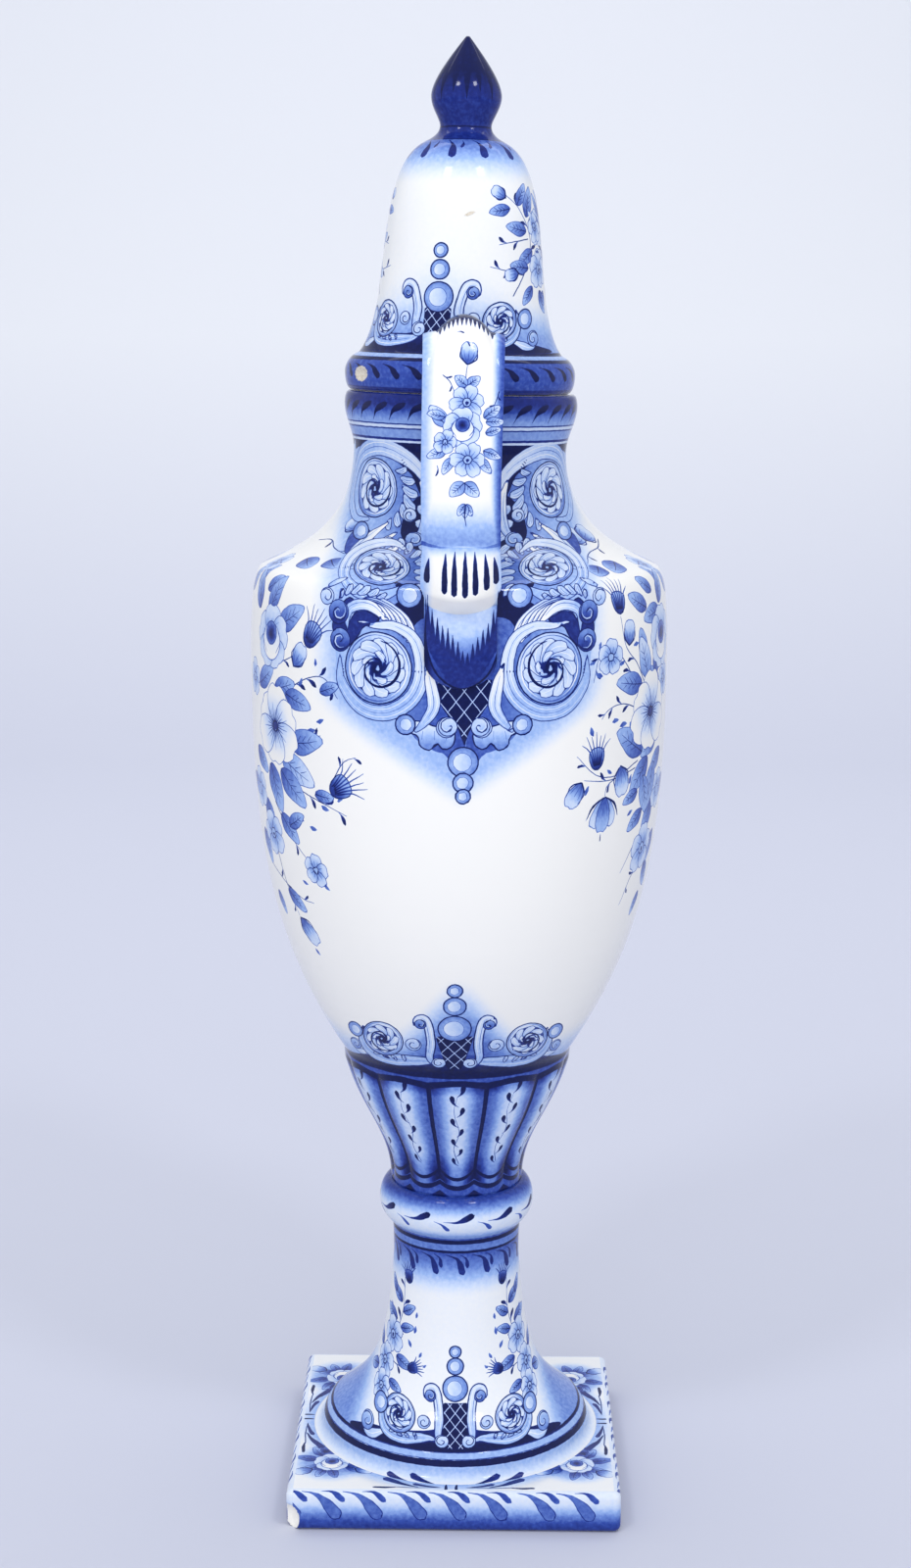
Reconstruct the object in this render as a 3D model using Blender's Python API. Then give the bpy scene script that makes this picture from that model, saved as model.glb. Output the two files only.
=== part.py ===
"""Covered ceramic amphora with two strap handles, on a bell foot and a square plinth.

Body, handles, foot and plinth are one hollow fired piece. The bell-shaped lid with its
bud finial is a second one and lifts off. The origin is on the ground under the middle of
the plinth, +Z is up, and the handles stand out along Y. Lengths are metres.
"""
import math

import bmesh
import bpy
from mathutils import Vector

# Plinth
PLINTH_SIDE = 0.1955
PLINTH_THICK = 0.0245
PLINTH_ROUNDING = 0.004
BEARING_WIDTH = 0.016
PLINTH_TURN_DEGREES = -0.9

# Turned body: the rise of each zone, from the plinth's top upward
RING_RISE = 0.0149
BELL_RISE = 0.0976
STEM_RISE = 0.0205
TORUS_RISE = 0.0265
CUP_RISE = 0.0760
LIP_RISE = 0.0085
BELLY_RISE = 0.2365
SHOULDER_RISE = 0.0510
NECK_RISE = 0.0655
COLLAR_RISE = 0.0255
MOUTH_RISE = 0.0072

# Turned body: the outer radius where the zones meet
RING_COVE = 0.0060
RING_RADIUS = 0.0813
BELL_RADIUS = 0.0768
STEM_RADIUS = 0.0381
TORUS_FOOT_RADIUS = 0.0390
TORUS_RADIUS = 0.0466
CUP_FOOT_RADIUS = 0.0397
CUP_RADIUS = 0.0674
BELLY_FOOT_RADIUS = 0.0682
BELLY_RADIUS = 0.1212
SHOULDER_RADIUS = 0.1140
NECK_RADIUS = 0.0611
COLLAR_RADIUS = 0.0667
MOUTH_RADIUS = 0.0643
MOUTH_BORE = 0.0535

# Gadroons round the cup
LOBES = 12
LOBE_DEPTH = 0.0020

# Walls
BODY_WALL = 0.0065
FLOOR_THICK = 0.0080
LID_WALL = 0.0055
PLINTH_ROOF = 0.0080

# Lid
SEAT_GAP = 0.0003
LID_RIM_RISE = 0.0210
LID_FLARE_RISE = 0.0345
LID_DOME_RISE = 0.0825
LID_CAP_RISE = 0.0090
BUD_RISE = 0.0160
BUD_POINT_RISE = 0.0325
LID_SEAT_RADIUS = 0.0620
LID_RIM_BULGE = 0.0658
LID_FLARE_RADIUS = 0.0582
LID_DOME_RADIUS = 0.0475
LID_CAP_RADIUS = 0.0230
BUD_NECK_RADIUS = 0.0145
BUD_RADIUS = 0.0199
BUD_TIP_RADIUS = 0.0010
LOCATOR_DEPTH = 0.0140
LOCATOR_WALL = 0.0050
LOCATOR_CLEARANCE = 0.0022
LID_SHIFT = -0.0010

# Strap handles
STRAP_WIDTH = 0.0440
STRAP_THICK = 0.0090
STRAP_CROWN = 0.0035
STRAP_STANDOFF = 0.0075
ARCH_ABOVE_MOUTH = 0.0303
ARCH_SETBACK = 0.0285
RIB_WIDTH = 0.0290
RIB_CROWN = 0.0090
KNUCKLE_HEIGHT = 0.0300
KNUCKLE_CROWN = 0.0095
KNUCKLE_ROOT = 0.0040
TONGUE_WIDTH = 0.0390
TONGUE_LENGTH = 0.0460
TONGUE_PROUD = 0.0030

# The neck was pulled a little to one side while soft, and the lid follows it
LEAN_DEGREES = 1.1
LEAN_SPAN = 0.0300

# Chips
PLINTH_CHIP_RADIUS = 0.0085
RIM_CHIP_RADIUS = 0.0050
RIM_CHIP_DEGREES = -148.0

# Facets
BODY_COLUMNS = 4 * LOBES
LID_COLUMNS = 36
HOLLOW_COLUMNS = 24
STRAP_STEPS = 8
CURL_STEPS = 6
OVERSHOOT = 0.0200

# Heights above the ground where the zones meet
RING_TOP = PLINTH_THICK + RING_RISE
STEM_LEVEL = RING_TOP + BELL_RISE
TORUS_FOOT = STEM_LEVEL + STEM_RISE
CUP_FOOT = TORUS_FOOT + TORUS_RISE
CUP_TOP = CUP_FOOT + CUP_RISE
BELLY_FOOT = CUP_TOP + LIP_RISE
BELLY_LEVEL = BELLY_FOOT + BELLY_RISE
SHOULDER_LEVEL = BELLY_LEVEL + SHOULDER_RISE
NECK_LEVEL = SHOULDER_LEVEL + NECK_RISE
COLLAR_LEVEL = NECK_LEVEL + COLLAR_RISE
MOUTH_LEVEL = COLLAR_LEVEL + MOUTH_RISE
SEAT_LEVEL = MOUTH_LEVEL + SEAT_GAP
LID_FLARE_LEVEL = SEAT_LEVEL + LID_RIM_RISE
LID_DOME_LEVEL = LID_FLARE_LEVEL + LID_FLARE_RISE
LID_CAP_LEVEL = LID_DOME_LEVEL + LID_DOME_RISE
BUD_NECK_LEVEL = LID_CAP_LEVEL + LID_CAP_RISE
BUD_LEVEL = BUD_NECK_LEVEL + BUD_RISE
TIP_LEVEL = BUD_LEVEL + BUD_POINT_RISE


# Outlines, as (radius, height)

def curve(start, end, first_pull, second_pull, steps):
    """Points of a cubic curve after its start. A pull is a share of the way to the end."""
    run = end[0] - start[0]
    rise = end[1] - start[1]
    points = []
    for step in range(1, steps + 1):
        share = step / steps
        one = 3 * share * (1 - share) ** 2
        two = 3 * share ** 2 * (1 - share)
        across = one * first_pull[0] + two * second_pull[0] + share ** 3
        along = one * first_pull[1] + two * second_pull[1] + share ** 3
        points.append((start[0] + run * across, start[1] + rise * along))
    return points


def foot_outline(detail):
    """From the plinth's top up the foot ring and the bell to the torus and the cup."""
    cove_foot = (RING_RADIUS + RING_COVE, PLINTH_THICK)
    cove_top = (RING_RADIUS, PLINTH_THICK + RING_COVE)
    ring_top = (BELL_RADIUS, RING_TOP)
    stem = (STEM_RADIUS, STEM_LEVEL)
    torus_foot = (TORUS_FOOT_RADIUS, TORUS_FOOT)
    torus = (TORUS_RADIUS, TORUS_FOOT + TORUS_RISE / 2)
    cup_foot = (CUP_FOOT_RADIUS, CUP_FOOT)
    points = [cove_foot]
    points += curve(cove_foot, cove_top, (0.55, 0.0), (1.0, 0.45), detail)
    points += curve(cove_top, ring_top, (0.0, 0.40), (0.75, 0.85), detail)
    points += curve(ring_top, stem, (0.711, 0.208), (0.886, 0.341), 3 * detail + 1)
    points += curve(stem, torus_foot, (0.0, 0.50), (0.30, 0.85), detail)
    points += curve(torus_foot, torus, (0.40, 0.15), (1.0, 0.55), detail + 1)
    points += curve(torus, cup_foot, (0.0, 0.50), (0.30, 0.95), detail + 1)
    return points


def cup_outline(detail):
    """The gadroons from the torus up to their lip."""
    cup_foot = (CUP_FOOT_RADIUS, CUP_FOOT)
    cup_top = (CUP_RADIUS, CUP_TOP)
    lip_top = (BELLY_FOOT_RADIUS, BELLY_FOOT)
    points = curve(cup_foot, cup_top, (0.0, 0.370), (0.680, 0.560), 3 * detail)
    points += curve(cup_top, lip_top, (0.20, 0.40), (0.70, 0.80), 1)
    return points


def belly_outline(detail):
    """From the cup's lip up the belly and over the shoulder to the neck."""
    foot = (BELLY_FOOT_RADIUS, BELLY_FOOT)
    belly = (BELLY_RADIUS, BELLY_LEVEL)
    shoulder = (SHOULDER_RADIUS, SHOULDER_LEVEL)
    neck = (NECK_RADIUS, NECK_LEVEL)
    points = curve(foot, belly, (0.892, 0.305), (1.0, 0.589), 3 * detail + 1)
    points += curve(belly, shoulder, (0.0, 0.69), (0.36, 0.945), 2 * detail)
    points += curve(shoulder, neck, (0.15, 0.090), (1.0, 0.240), 2 * detail + 1)
    return points


def mouth_outline(detail):
    """The collar and the rounded mouth."""
    neck = (NECK_RADIUS, NECK_LEVEL)
    collar = (COLLAR_RADIUS, COLLAR_LEVEL)
    mouth = (MOUTH_RADIUS, MOUTH_LEVEL)
    points = curve(neck, collar, (0.0, 0.39), (0.93, 0.59), 2 * detail)
    points += curve(collar, mouth, (0.0, 0.55), (0.45, 1.0), detail)
    return points


def lid_outline(detail):
    """The lid from its seat up to the tip of the bud."""
    seat = (LID_SEAT_RADIUS, SEAT_LEVEL)
    bulge = (LID_RIM_BULGE, SEAT_LEVEL + LID_RIM_RISE / 2)
    flare = (LID_FLARE_RADIUS, LID_FLARE_LEVEL)
    dome = (LID_DOME_RADIUS, LID_DOME_LEVEL)
    cap = (LID_CAP_RADIUS, LID_CAP_LEVEL)
    bud_neck = (BUD_NECK_RADIUS, BUD_NECK_LEVEL)
    bud = (BUD_RADIUS, BUD_LEVEL)
    tip = (BUD_TIP_RADIUS, TIP_LEVEL)
    points = [seat]
    points += curve(seat, bulge, (0.70, 0.05), (1.0, 0.50), detail)
    points += curve(bulge, flare, (0.0, 0.38), (0.40, 0.85), detail)
    points += curve(flare, dome, (0.43, 0.13), (0.86, 0.57), detail + 1)
    points += curve(dome, cap, (0.176, 0.364), (0.157, 0.873), 2 * detail + 1)
    points += curve(cap, bud_neck, (0.47, 0.22), (1.0, 0.50), detail)
    points += curve(bud_neck, bud, (0.09, 0.28), (1.0, 0.59), detail)
    points += curve(bud, tip, (0.0, 0.26), (0.577, 0.692), detail + 1)
    return points


def inner_side(outline, wall):
    """An outline moved inward, square to itself, by the wall's thickness."""
    moved = []
    for index, (radius, height) in enumerate(outline):
        before = outline[max(index - 1, 0)]
        after = outline[min(index + 1, len(outline) - 1)]
        run = after[0] - before[0]
        rise = after[1] - before[1]
        length = math.hypot(run, rise)
        moved.append((radius - wall * rise / length, height + wall * run / length))
    return moved


def radius_at(outline, height):
    """The outline's radius at a height, for an outline that climbs."""
    for (lower_radius, lower), (upper_radius, upper) in zip(outline, outline[1:]):
        if lower <= height <= upper:
            share = (height - lower) / (upper - lower)
            return lower_radius + share * (upper_radius - lower_radius)
    return outline[-1][0] if height > outline[-1][1] else outline[0][0]


# Meshes

def ease(share):
    """Go smoothly from 0 to 1 as the share does."""
    held = min(max(share, 0.0), 1.0)
    return held * held * (3 - 2 * held)


def lean(point):
    """Turn what is above the neck about its middle, and ease in over the span below it."""
    angle = math.radians(LEAN_DEGREES) * ease((point.z - NECK_LEVEL) / LEAN_SPAN + 1.0)
    above = point.z - NECK_LEVEL
    turned_x = point.x * math.cos(angle) + above * math.sin(angle)
    turned_z = above * math.cos(angle) - point.x * math.sin(angle)
    return Vector((turned_x, point.y, NECK_LEVEL + turned_z))


def add_object(name, mesh_data, material=None):
    """Put a finished bmesh into the scene as an object of its own."""
    mesh = bpy.data.meshes.new(name)
    bmesh.ops.recalc_face_normals(mesh_data, faces=mesh_data.faces)
    mesh_data.to_mesh(mesh)
    mesh_data.free()
    mesh.shade_smooth()
    mesh.set_sharp_from_angle(angle=math.radians(40))
    if material is not None:
        mesh.materials.append(material)
    item = bpy.data.objects.new(name, mesh)
    bpy.context.scene.collection.objects.link(item)
    return item


def as_guide(item):
    """Keep an object as a construction shape that isn't part of the model."""
    item.hide_render = True
    item.display_type = "WIRE"
    return item


def combine(item, other, operation):
    """Join or cut an object with another one."""
    step = item.modifiers.new(other.name, "BOOLEAN")
    step.operation = operation
    step.object = as_guide(other)


def close_rings(mesh_data, rings):
    """Skin a row of closed rings and fill both ends."""
    for lower, upper in zip(rings, rings[1:]):
        count = len(lower)
        for index in range(count):
            following = (index + 1) % count
            mesh_data.faces.new((lower[index], lower[following], upper[following], upper[index]))
    mesh_data.faces.new(list(reversed(rings[0])))
    mesh_data.faces.new(rings[-1])


def lobe_cut(height, angle):
    """How far a gadroon's surface lies inside its crest, at an angle from the front."""
    climb = (height - CUP_FOOT) / (BELLY_FOOT - CUP_FOOT)
    if climb < 0 or climb >= 1:
        return 0.0
    pitch = 2 * math.pi / LOBES
    off_crest = (angle + pitch / 2) % pitch - pitch / 2
    fullness = min(1.0, 0.35 + 3.0 * climb)
    return LOBE_DEPTH * fullness * (2 * off_crest / pitch) ** 2


def turned(name, outline, columns, shift=0.0, material=None):
    """A solid of revolution about Z, with gadroons where the cup is."""
    mesh_data = bmesh.new()
    rings = []
    for radius, height in outline:
        ring = []
        for column in range(columns):
            angle = 2 * math.pi * column / columns
            reach = radius - lobe_cut(height, angle)
            point = Vector((shift + reach * math.cos(angle), reach * math.sin(angle), height))
            ring.append(mesh_data.verts.new(lean(point)))
        rings.append(ring)
    close_rings(mesh_data, rings)
    return add_object(name, mesh_data, material)


def block(name, side, bottom, top, rounding):
    """A square block round the Z axis, turned like the plinth, rounded if asked."""
    mesh_data = bmesh.new()
    bmesh.ops.create_cube(mesh_data, size=1.0)
    for vert in mesh_data.verts:
        vert.co.x *= side
        vert.co.y *= side
        vert.co.z = bottom + (vert.co.z + 0.5) * (top - bottom)
    if rounding > 0:
        bmesh.ops.bevel(
            mesh_data,
            geom=mesh_data.edges[:],
            offset=rounding,
            offset_type="OFFSET",
            segments=2,
            profile=0.5,
            affect="EDGES",
        )
    item = add_object(name, mesh_data)
    item.rotation_euler.z = math.radians(PLINTH_TURN_DEGREES)
    return item


def chip(name, place, radius, heights):
    """A small uneven hollow, stretched upward, that is broken out of an edge."""
    mesh_data = bmesh.new()
    bmesh.ops.create_icosphere(mesh_data, subdivisions=1, radius=radius)
    for vert in mesh_data.verts:
        vert.co.z *= heights
        vert.co = lean(vert.co + place)
    return add_object(name, mesh_data)


# Handle

def strap_path():
    """The strap's middle line as (reach, height, zone, share of the zone)."""
    body_outline = belly_outline(4) + mouth_outline(4)
    strap_reach = SHOULDER_RADIUS + STRAP_STANDOFF
    knuckle_foot = SHOULDER_LEVEL - KNUCKLE_HEIGHT * 0.30
    tongue_foot = knuckle_foot - TONGUE_LENGTH
    path = []
    for share in (0.0, 0.02, 0.08, 0.20, 0.45, 0.98):
        height = tongue_foot + share * TONGUE_LENGTH
        reach = radius_at(body_outline, height) + TONGUE_PROUD - STRAP_THICK / 2
        path.append((reach, height, "tongue", share))
    for share in (0.0, 0.12, 0.35, 0.60, 0.85):
        path.append((strap_reach, knuckle_foot + share * KNUCKLE_HEIGHT, "knuckle", share))
    strap_foot = (strap_reach, knuckle_foot + KNUCKLE_HEIGHT)
    arch = (strap_reach - ARCH_SETBACK, MOUTH_LEVEL + ARCH_ABOVE_MOUTH)
    root = (NECK_RADIUS - STRAP_THICK * 0.40, NECK_LEVEL - STRAP_THICK * 0.40)
    path.append((*strap_foot, "strap", 0.0))
    limb = curve(strap_foot, arch, (0.0, 0.50), (0.20, 1.0), STRAP_STEPS)
    for step, (reach, height) in enumerate(limb, start=1):
        path.append((reach, height, "strap", step / STRAP_STEPS))
    curl = curve(arch, root, (0.45, 0.0), (0.366, 0.49), CURL_STEPS)
    for step, (reach, height) in enumerate(curl, start=1):
        path.append((reach, height, "curl", step / CURL_STEPS))
    return path


def strap_section(zone, share):
    """Half width, crown height, half the crown's width and extra root behind, for a place."""
    wide = STRAP_WIDTH / 2
    full = 0.90 * wide
    if zone == "tongue":
        rounding = min(1.0, share / 0.35)
        half = TONGUE_WIDTH / 2 * math.sqrt(0.03 + 0.97 * (1 - (1 - rounding) ** 2))
        return half, STRAP_CROWN * (0.2 + 0.8 * rounding), 0.90 * half, 0.0
    if zone == "knuckle":
        swell = math.sin(math.pi * (0.28 + 0.72 * share)) ** 0.8
        crown = STRAP_CROWN + (KNUCKLE_CROWN - STRAP_CROWN) * swell
        return 0.95 * wide, crown, full, KNUCKLE_ROOT * max(0.0, 1 - 2 * share)
    if zone == "curl":
        return wide, RIB_CROWN * (1 - ease((share - 0.15) / 0.60)), RIB_WIDTH / 2, 0.0
    gather = ease((share - 0.45) / 0.50)
    half = wide * (0.955 + 0.045 * share)
    crown = STRAP_CROWN + (RIB_CROWN - STRAP_CROWN) * gather
    return half, crown, full + (RIB_WIDTH / 2 - full) * gather, 0.0


def section_points(half, crown, crown_half, root):
    """The strap's cross-section as (sideways, outward), right round."""
    back = -STRAP_THICK / 2 - root
    face = STRAP_THICK / 2
    points = [(-0.86 * half, back), (0.86 * half, back), (half, 0.0), (0.96 * half, 0.8 * face)]
    for share in (1.0, 0.55, 0.0, -0.55, -1.0):
        points.append((share * crown_half, face + crown * (1 - share * share)))
    points += [(-0.96 * half, 0.8 * face), (-half, 0.0)]
    return points


def handle(name, side):
    """One strap handle, from its tongue on the belly over the arch into the neck."""
    path = strap_path()
    mesh_data = bmesh.new()
    rings = []
    for index, (reach, height, zone, share) in enumerate(path):
        before = path[max(index - 1, 0)]
        after = path[min(index + 1, len(path) - 1)]
        run = after[0] - before[0]
        rise = after[1] - before[1]
        length = math.hypot(run, rise)
        ring = []
        for sideways, outward in section_points(*strap_section(zone, share)):
            out = reach + outward * rise / length
            up = height - outward * run / length
            ring.append(mesh_data.verts.new(lean(Vector((sideways, side * out, up)))))
        rings.append(ring)
    close_rings(mesh_data, rings)
    return add_object(name, mesh_data)


# Fired pieces

def glaze(name, colour):
    """A glossy glaze of one even colour."""
    material = bpy.data.materials.new(name)
    material.use_nodes = True
    shader = material.node_tree.nodes["Principled BSDF"]
    shader.inputs["Base Color"].default_value = (*colour, 1.0)
    shader.inputs["Roughness"].default_value = 0.12
    shader.inputs["Metallic"].default_value = 0.0
    return material


def vessel_hollow():
    """The space inside the vessel, from its floor up through the mouth."""
    inner = inner_side(cup_outline(2) + belly_outline(2) + mouth_outline(1), BODY_WALL)
    floor = CUP_FOOT + FLOOR_THICK
    floor_radius = radius_at(cup_outline(4), floor) - BODY_WALL
    wall = [point for point in inner if floor + BODY_WALL < point[1] < NECK_LEVEL]
    outline = [(floor_radius * 0.80, floor), (floor_radius, floor + BODY_WALL / 2)]
    outline += wall
    outline.append((MOUTH_BORE, NECK_LEVEL + COLLAR_RISE / 2))
    outline.append((MOUTH_BORE, MOUTH_LEVEL + OVERSHOOT))
    return turned("vessel_hollow", outline, HOLLOW_COLUMNS)


def foot_hollow():
    """The space inside the bell foot, open below and closed under the cup."""
    inner = inner_side(foot_outline(2), BODY_WALL)
    roof = CUP_FOOT
    mouth_radius = BELL_RADIUS - BODY_WALL
    outline = [(mouth_radius, PLINTH_THICK - PLINTH_ROOF - OVERSHOOT / 4)]
    outline.append((mouth_radius, PLINTH_THICK))
    outline += [point for point in inner if RING_TOP < point[1] < roof - 3 * BODY_WALL]
    top_radius = outline[-1][0]
    outline.append((top_radius * 0.90, roof - 1.5 * BODY_WALL))
    outline.append((top_radius * 0.45, roof))
    return turned("foot_hollow", outline, HOLLOW_COLUMNS)


def build_amphora():
    """The vessel, its handles, foot and plinth as one hollow piece."""
    root = (RING_RADIUS + RING_COVE, PLINTH_THICK / 2)
    outline = [root] + foot_outline(2) + cup_outline(2) + belly_outline(2) + mouth_outline(2)
    colour = glaze("white tin glaze on the amphora", (0.72, 0.78, 0.90))
    amphora = turned("amphora", outline, BODY_COLUMNS, material=colour)
    plinth = block("plinth", PLINTH_SIDE, 0.0, PLINTH_THICK, PLINTH_ROUNDING)
    combine(amphora, plinth, "UNION")
    combine(amphora, handle("front_handle", -1), "UNION")
    combine(amphora, handle("back_handle", 1), "UNION")
    combine(amphora, vessel_hollow(), "DIFFERENCE")
    recess_side = PLINTH_SIDE - 2 * BEARING_WIDTH
    recess = block("recess", recess_side, -OVERSHOOT, PLINTH_THICK - PLINTH_ROOF, 0.0)
    combine(amphora, recess, "DIFFERENCE")
    combine(amphora, foot_hollow(), "DIFFERENCE")
    corner_reach = PLINTH_SIDE / math.sqrt(2) - PLINTH_ROUNDING * (math.sqrt(2) - 1)
    corner_angle = math.radians(PLINTH_TURN_DEGREES - 135)
    corner_x = corner_reach * math.cos(corner_angle)
    corner_y = corner_reach * math.sin(corner_angle)
    place = Vector((corner_x, corner_y, PLINTH_CHIP_RADIUS * 0.8))
    combine(amphora, chip("plinth_chip", place, PLINTH_CHIP_RADIUS * 0.75, 1.4), "DIFFERENCE")
    return amphora


def lid_hollow():
    """The space under the lid, from its locating ring up into the dome."""
    ring_bore = MOUTH_BORE - LOCATOR_CLEARANCE - LOCATOR_WALL
    inner = inner_side(lid_outline(2), LID_WALL)
    ceiling = LID_CAP_LEVEL - LID_WALL
    outline = [(ring_bore, SEAT_LEVEL - LOCATOR_DEPTH - OVERSHOOT / 4)]
    outline.append((ring_bore, LID_FLARE_LEVEL))
    outline += [point for point in inner if LID_DOME_LEVEL <= point[1] < ceiling - LID_WALL]
    outline.append((outline[-1][0] * 0.60, ceiling))
    return turned("lid_hollow", outline, HOLLOW_COLUMNS, LID_SHIFT)


def build_lid():
    """The lid with its locating ring and its bud, hollow below the bud."""
    locator_radius = MOUTH_BORE - LOCATOR_CLEARANCE
    outline = [(locator_radius, SEAT_LEVEL - LOCATOR_DEPTH), (locator_radius, SEAT_LEVEL)]
    outline += lid_outline(2)
    colour = glaze("white tin glaze on the lid", (0.70, 0.77, 0.90))
    lid = turned("lid", outline, LID_COLUMNS, LID_SHIFT, colour)
    combine(lid, lid_hollow(), "DIFFERENCE")
    around = math.radians(RIM_CHIP_DEGREES)
    reach = LID_RIM_BULGE + RIM_CHIP_RADIUS * 0.70
    height = SEAT_LEVEL + LID_RIM_RISE * 0.45
    place = Vector((LID_SHIFT + reach * math.cos(around), reach * math.sin(around), height))
    combine(lid, chip("rim_chip", place, RIM_CHIP_RADIUS, 1.1), "DIFFERENCE")
    return lid


def main():
    """Clear the scene and build both pieces."""
    for item in list(bpy.data.objects):
        bpy.data.objects.remove(item, do_unlink=True)
    build_amphora()
    build_lid()


main()
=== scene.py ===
"""Covered ceramic amphora: its finely turned surfaces, its painting in blue and its glaze.

Shapes are in metres, in the model's own frame. Everything painted is in millimetres: on a
turned piece x runs round the surface from a motif's middle and v is the length of the
outline from the foot upward; on a strap and on the plinth x and y are measured flat.
A tone runs from 0, bare white glaze, to 1, the darkest blue.
"""
import math
from functools import partial

import bpy
import numpy as np
from mathutils import Matrix, Vector


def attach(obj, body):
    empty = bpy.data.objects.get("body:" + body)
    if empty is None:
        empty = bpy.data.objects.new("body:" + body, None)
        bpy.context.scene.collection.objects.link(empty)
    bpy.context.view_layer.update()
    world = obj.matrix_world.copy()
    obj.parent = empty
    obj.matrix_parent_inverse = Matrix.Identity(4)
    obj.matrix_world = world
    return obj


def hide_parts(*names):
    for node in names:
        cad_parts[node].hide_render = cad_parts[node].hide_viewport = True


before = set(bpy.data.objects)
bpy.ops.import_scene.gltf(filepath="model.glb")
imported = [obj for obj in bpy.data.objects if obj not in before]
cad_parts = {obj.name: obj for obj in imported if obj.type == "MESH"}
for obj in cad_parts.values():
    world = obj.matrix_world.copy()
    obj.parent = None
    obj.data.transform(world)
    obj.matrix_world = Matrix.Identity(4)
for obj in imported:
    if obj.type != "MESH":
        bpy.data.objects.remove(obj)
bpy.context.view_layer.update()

# Plinth
PLINTH_SIDE = 0.1955
PLINTH_THICK = 0.0245
PLINTH_ROUNDING = 0.0040
PLINTH_ROOF = 0.0080
PLINTH_TURN = math.radians(-0.9)
BEARING_WIDTH = 0.0160
HUB_RADIUS = 0.0800
SHARP = 0.0006
LAP = 0.0005

# Heights where the turned zones meet
RING_TOP = 0.0394
STEM_LEVEL = 0.1370
TORUS_FOOT = 0.1575
CUP_FOOT = 0.1840
CUP_TOP = 0.2600
BELLY_FOOT = 0.2685
BELLY_LEVEL = 0.5050
SHOULDER_LEVEL = 0.5560
NECK_LEVEL = 0.6215
COLLAR_LEVEL = 0.6470
MOUTH_LEVEL = 0.6542
SEAT_LEVEL = 0.6545
LID_FLARE_LEVEL = 0.6755
LID_DOME_LEVEL = 0.7100
LID_CAP_LEVEL = 0.7925
BUD_NECK_LEVEL = 0.8015
BUD_LEVEL = 0.8175
TIP_LEVEL = 0.8500

# Radii there
RING_RADIUS = 0.0813
RING_COVE = 0.0060
BELL_RADIUS = 0.0768
STEM_RADIUS = 0.0381
TORUS_FOOT_RADIUS = 0.0390
TORUS_RADIUS = 0.0466
CUP_FOOT_RADIUS = 0.0397
CUP_RADIUS = 0.0674
BELLY_FOOT_RADIUS = 0.0682
BELLY_RADIUS = 0.1212
SHOULDER_RADIUS = 0.1140
NECK_RADIUS = 0.0611
COLLAR_RADIUS = 0.0667
MOUTH_RADIUS = 0.0643
MOUTH_BORE = 0.0535
LID_SEAT_RADIUS = 0.0620
LID_RIM_BULGE = 0.0658
LID_FLARE_RADIUS = 0.0582
LID_DOME_RADIUS = 0.0475
LID_CAP_RADIUS = 0.0230
BUD_NECK_RADIUS = 0.0145
BUD_RADIUS = 0.0199
BUD_TIP_RADIUS = 0.0010

# Walls, gadroons, seat, lean and hidden insides
BODY_WALL = 0.0065
LID_WALL = 0.0055
FLOOR_THICK = 0.0080
LOBES = 12
LOBE_DEPTH = 0.0020
LOCATOR_DEPTH = 0.0140
LOCATOR_RADIUS = 0.0513
LOCATOR_BORE = 0.0463
LID_SHIFT = -0.0010
THROAT_RISE = 0.0060
LIP_BEVEL = 0.0015
FLOOR_RADIUS = 0.0280
FOOT_ROOF_DROP = 0.0220
FOOT_OVERLAP = 0.0020
FOOT_SINK = 0.0010
LEAN = math.radians(1.1)
LEAN_SPAN = 0.0300

# Strap handles
STRAP_WIDTH = 0.0440
STRAP_THICK = 0.0090
STRAP_CROWN = 0.0035
STRAP_ROOT_SINK = 0.0036
STRAP_REACH = 0.1215
ARCH_LEVEL = 0.6845
ARCH_REACH = 0.0930
RIB_WIDTH = 0.0290
RIB_CROWN = 0.0090
KNUCKLE_FOOT = 0.5470
KNUCKLE_HEIGHT = 0.0300
KNUCKLE_CROWN = 0.0095
KNUCKLE_ROOT = 0.0040
KNUCKLE_SMILE = 0.0065
TONGUE_WIDTH = 0.0390
TONGUE_LENGTH = 0.0460
TONGUE_PROUD = 0.0030

# Chips: on the lid's rim at the left, and on the plinth's front left corner
RIM_CHIP_ANGLE = math.radians(-148)
RIM_CHIP_LEVEL = 0.6640
RIM_CHIP_REACH = 0.0693
RIM_CHIP_RADIUS = 0.0055
RIM_CHIP_STRETCH = 1.6
CORNER_CHIP_LEVEL = 0.0068
CORNER_CHIP_RADIUS = 0.0064
CORNER_CHIP_STRETCH = 1.4

# Fineness of the meshes: rows as (length in millimetres, step from there on), then counts
VESSEL_ROWS = ((272.0, 2.3), (560.0, 1.9))
FOOT_ROWS = ((0.0, 1.0), (30.0, 1.3))
LID_ROWS = ((0.0, 1.0), (30.0, 1.4), (150.0, 1.1))
FIRST_STEP = 1.4
FOOT_WALL_START = 24.0
LID_WALL_END = 150.0
TONGUE_SHARES = (0.0, 0.004, 0.012, 0.025)
KNUCKLE_SHARES = (0.0, 0.01, 0.03, 0.06)
LIMB_STEPS = 90
CURL_STEPS = 44
VESSEL_COLUMNS = 320
FOOT_COLUMNS = 256
LID_COLUMNS = 300
FACE_COLUMNS = 56
CROWDING = math.radians(72)
CORNER_COLUMNS = 12
SIDE_COLUMNS = 84
WALL_RINGS = 34
FOOT_WALL_RINGS = 24
LID_WALL_RINGS = 26
TOP_RINGS = 24
SIDE_RINGS = 12
ROUNDING_RINGS = 7

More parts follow.
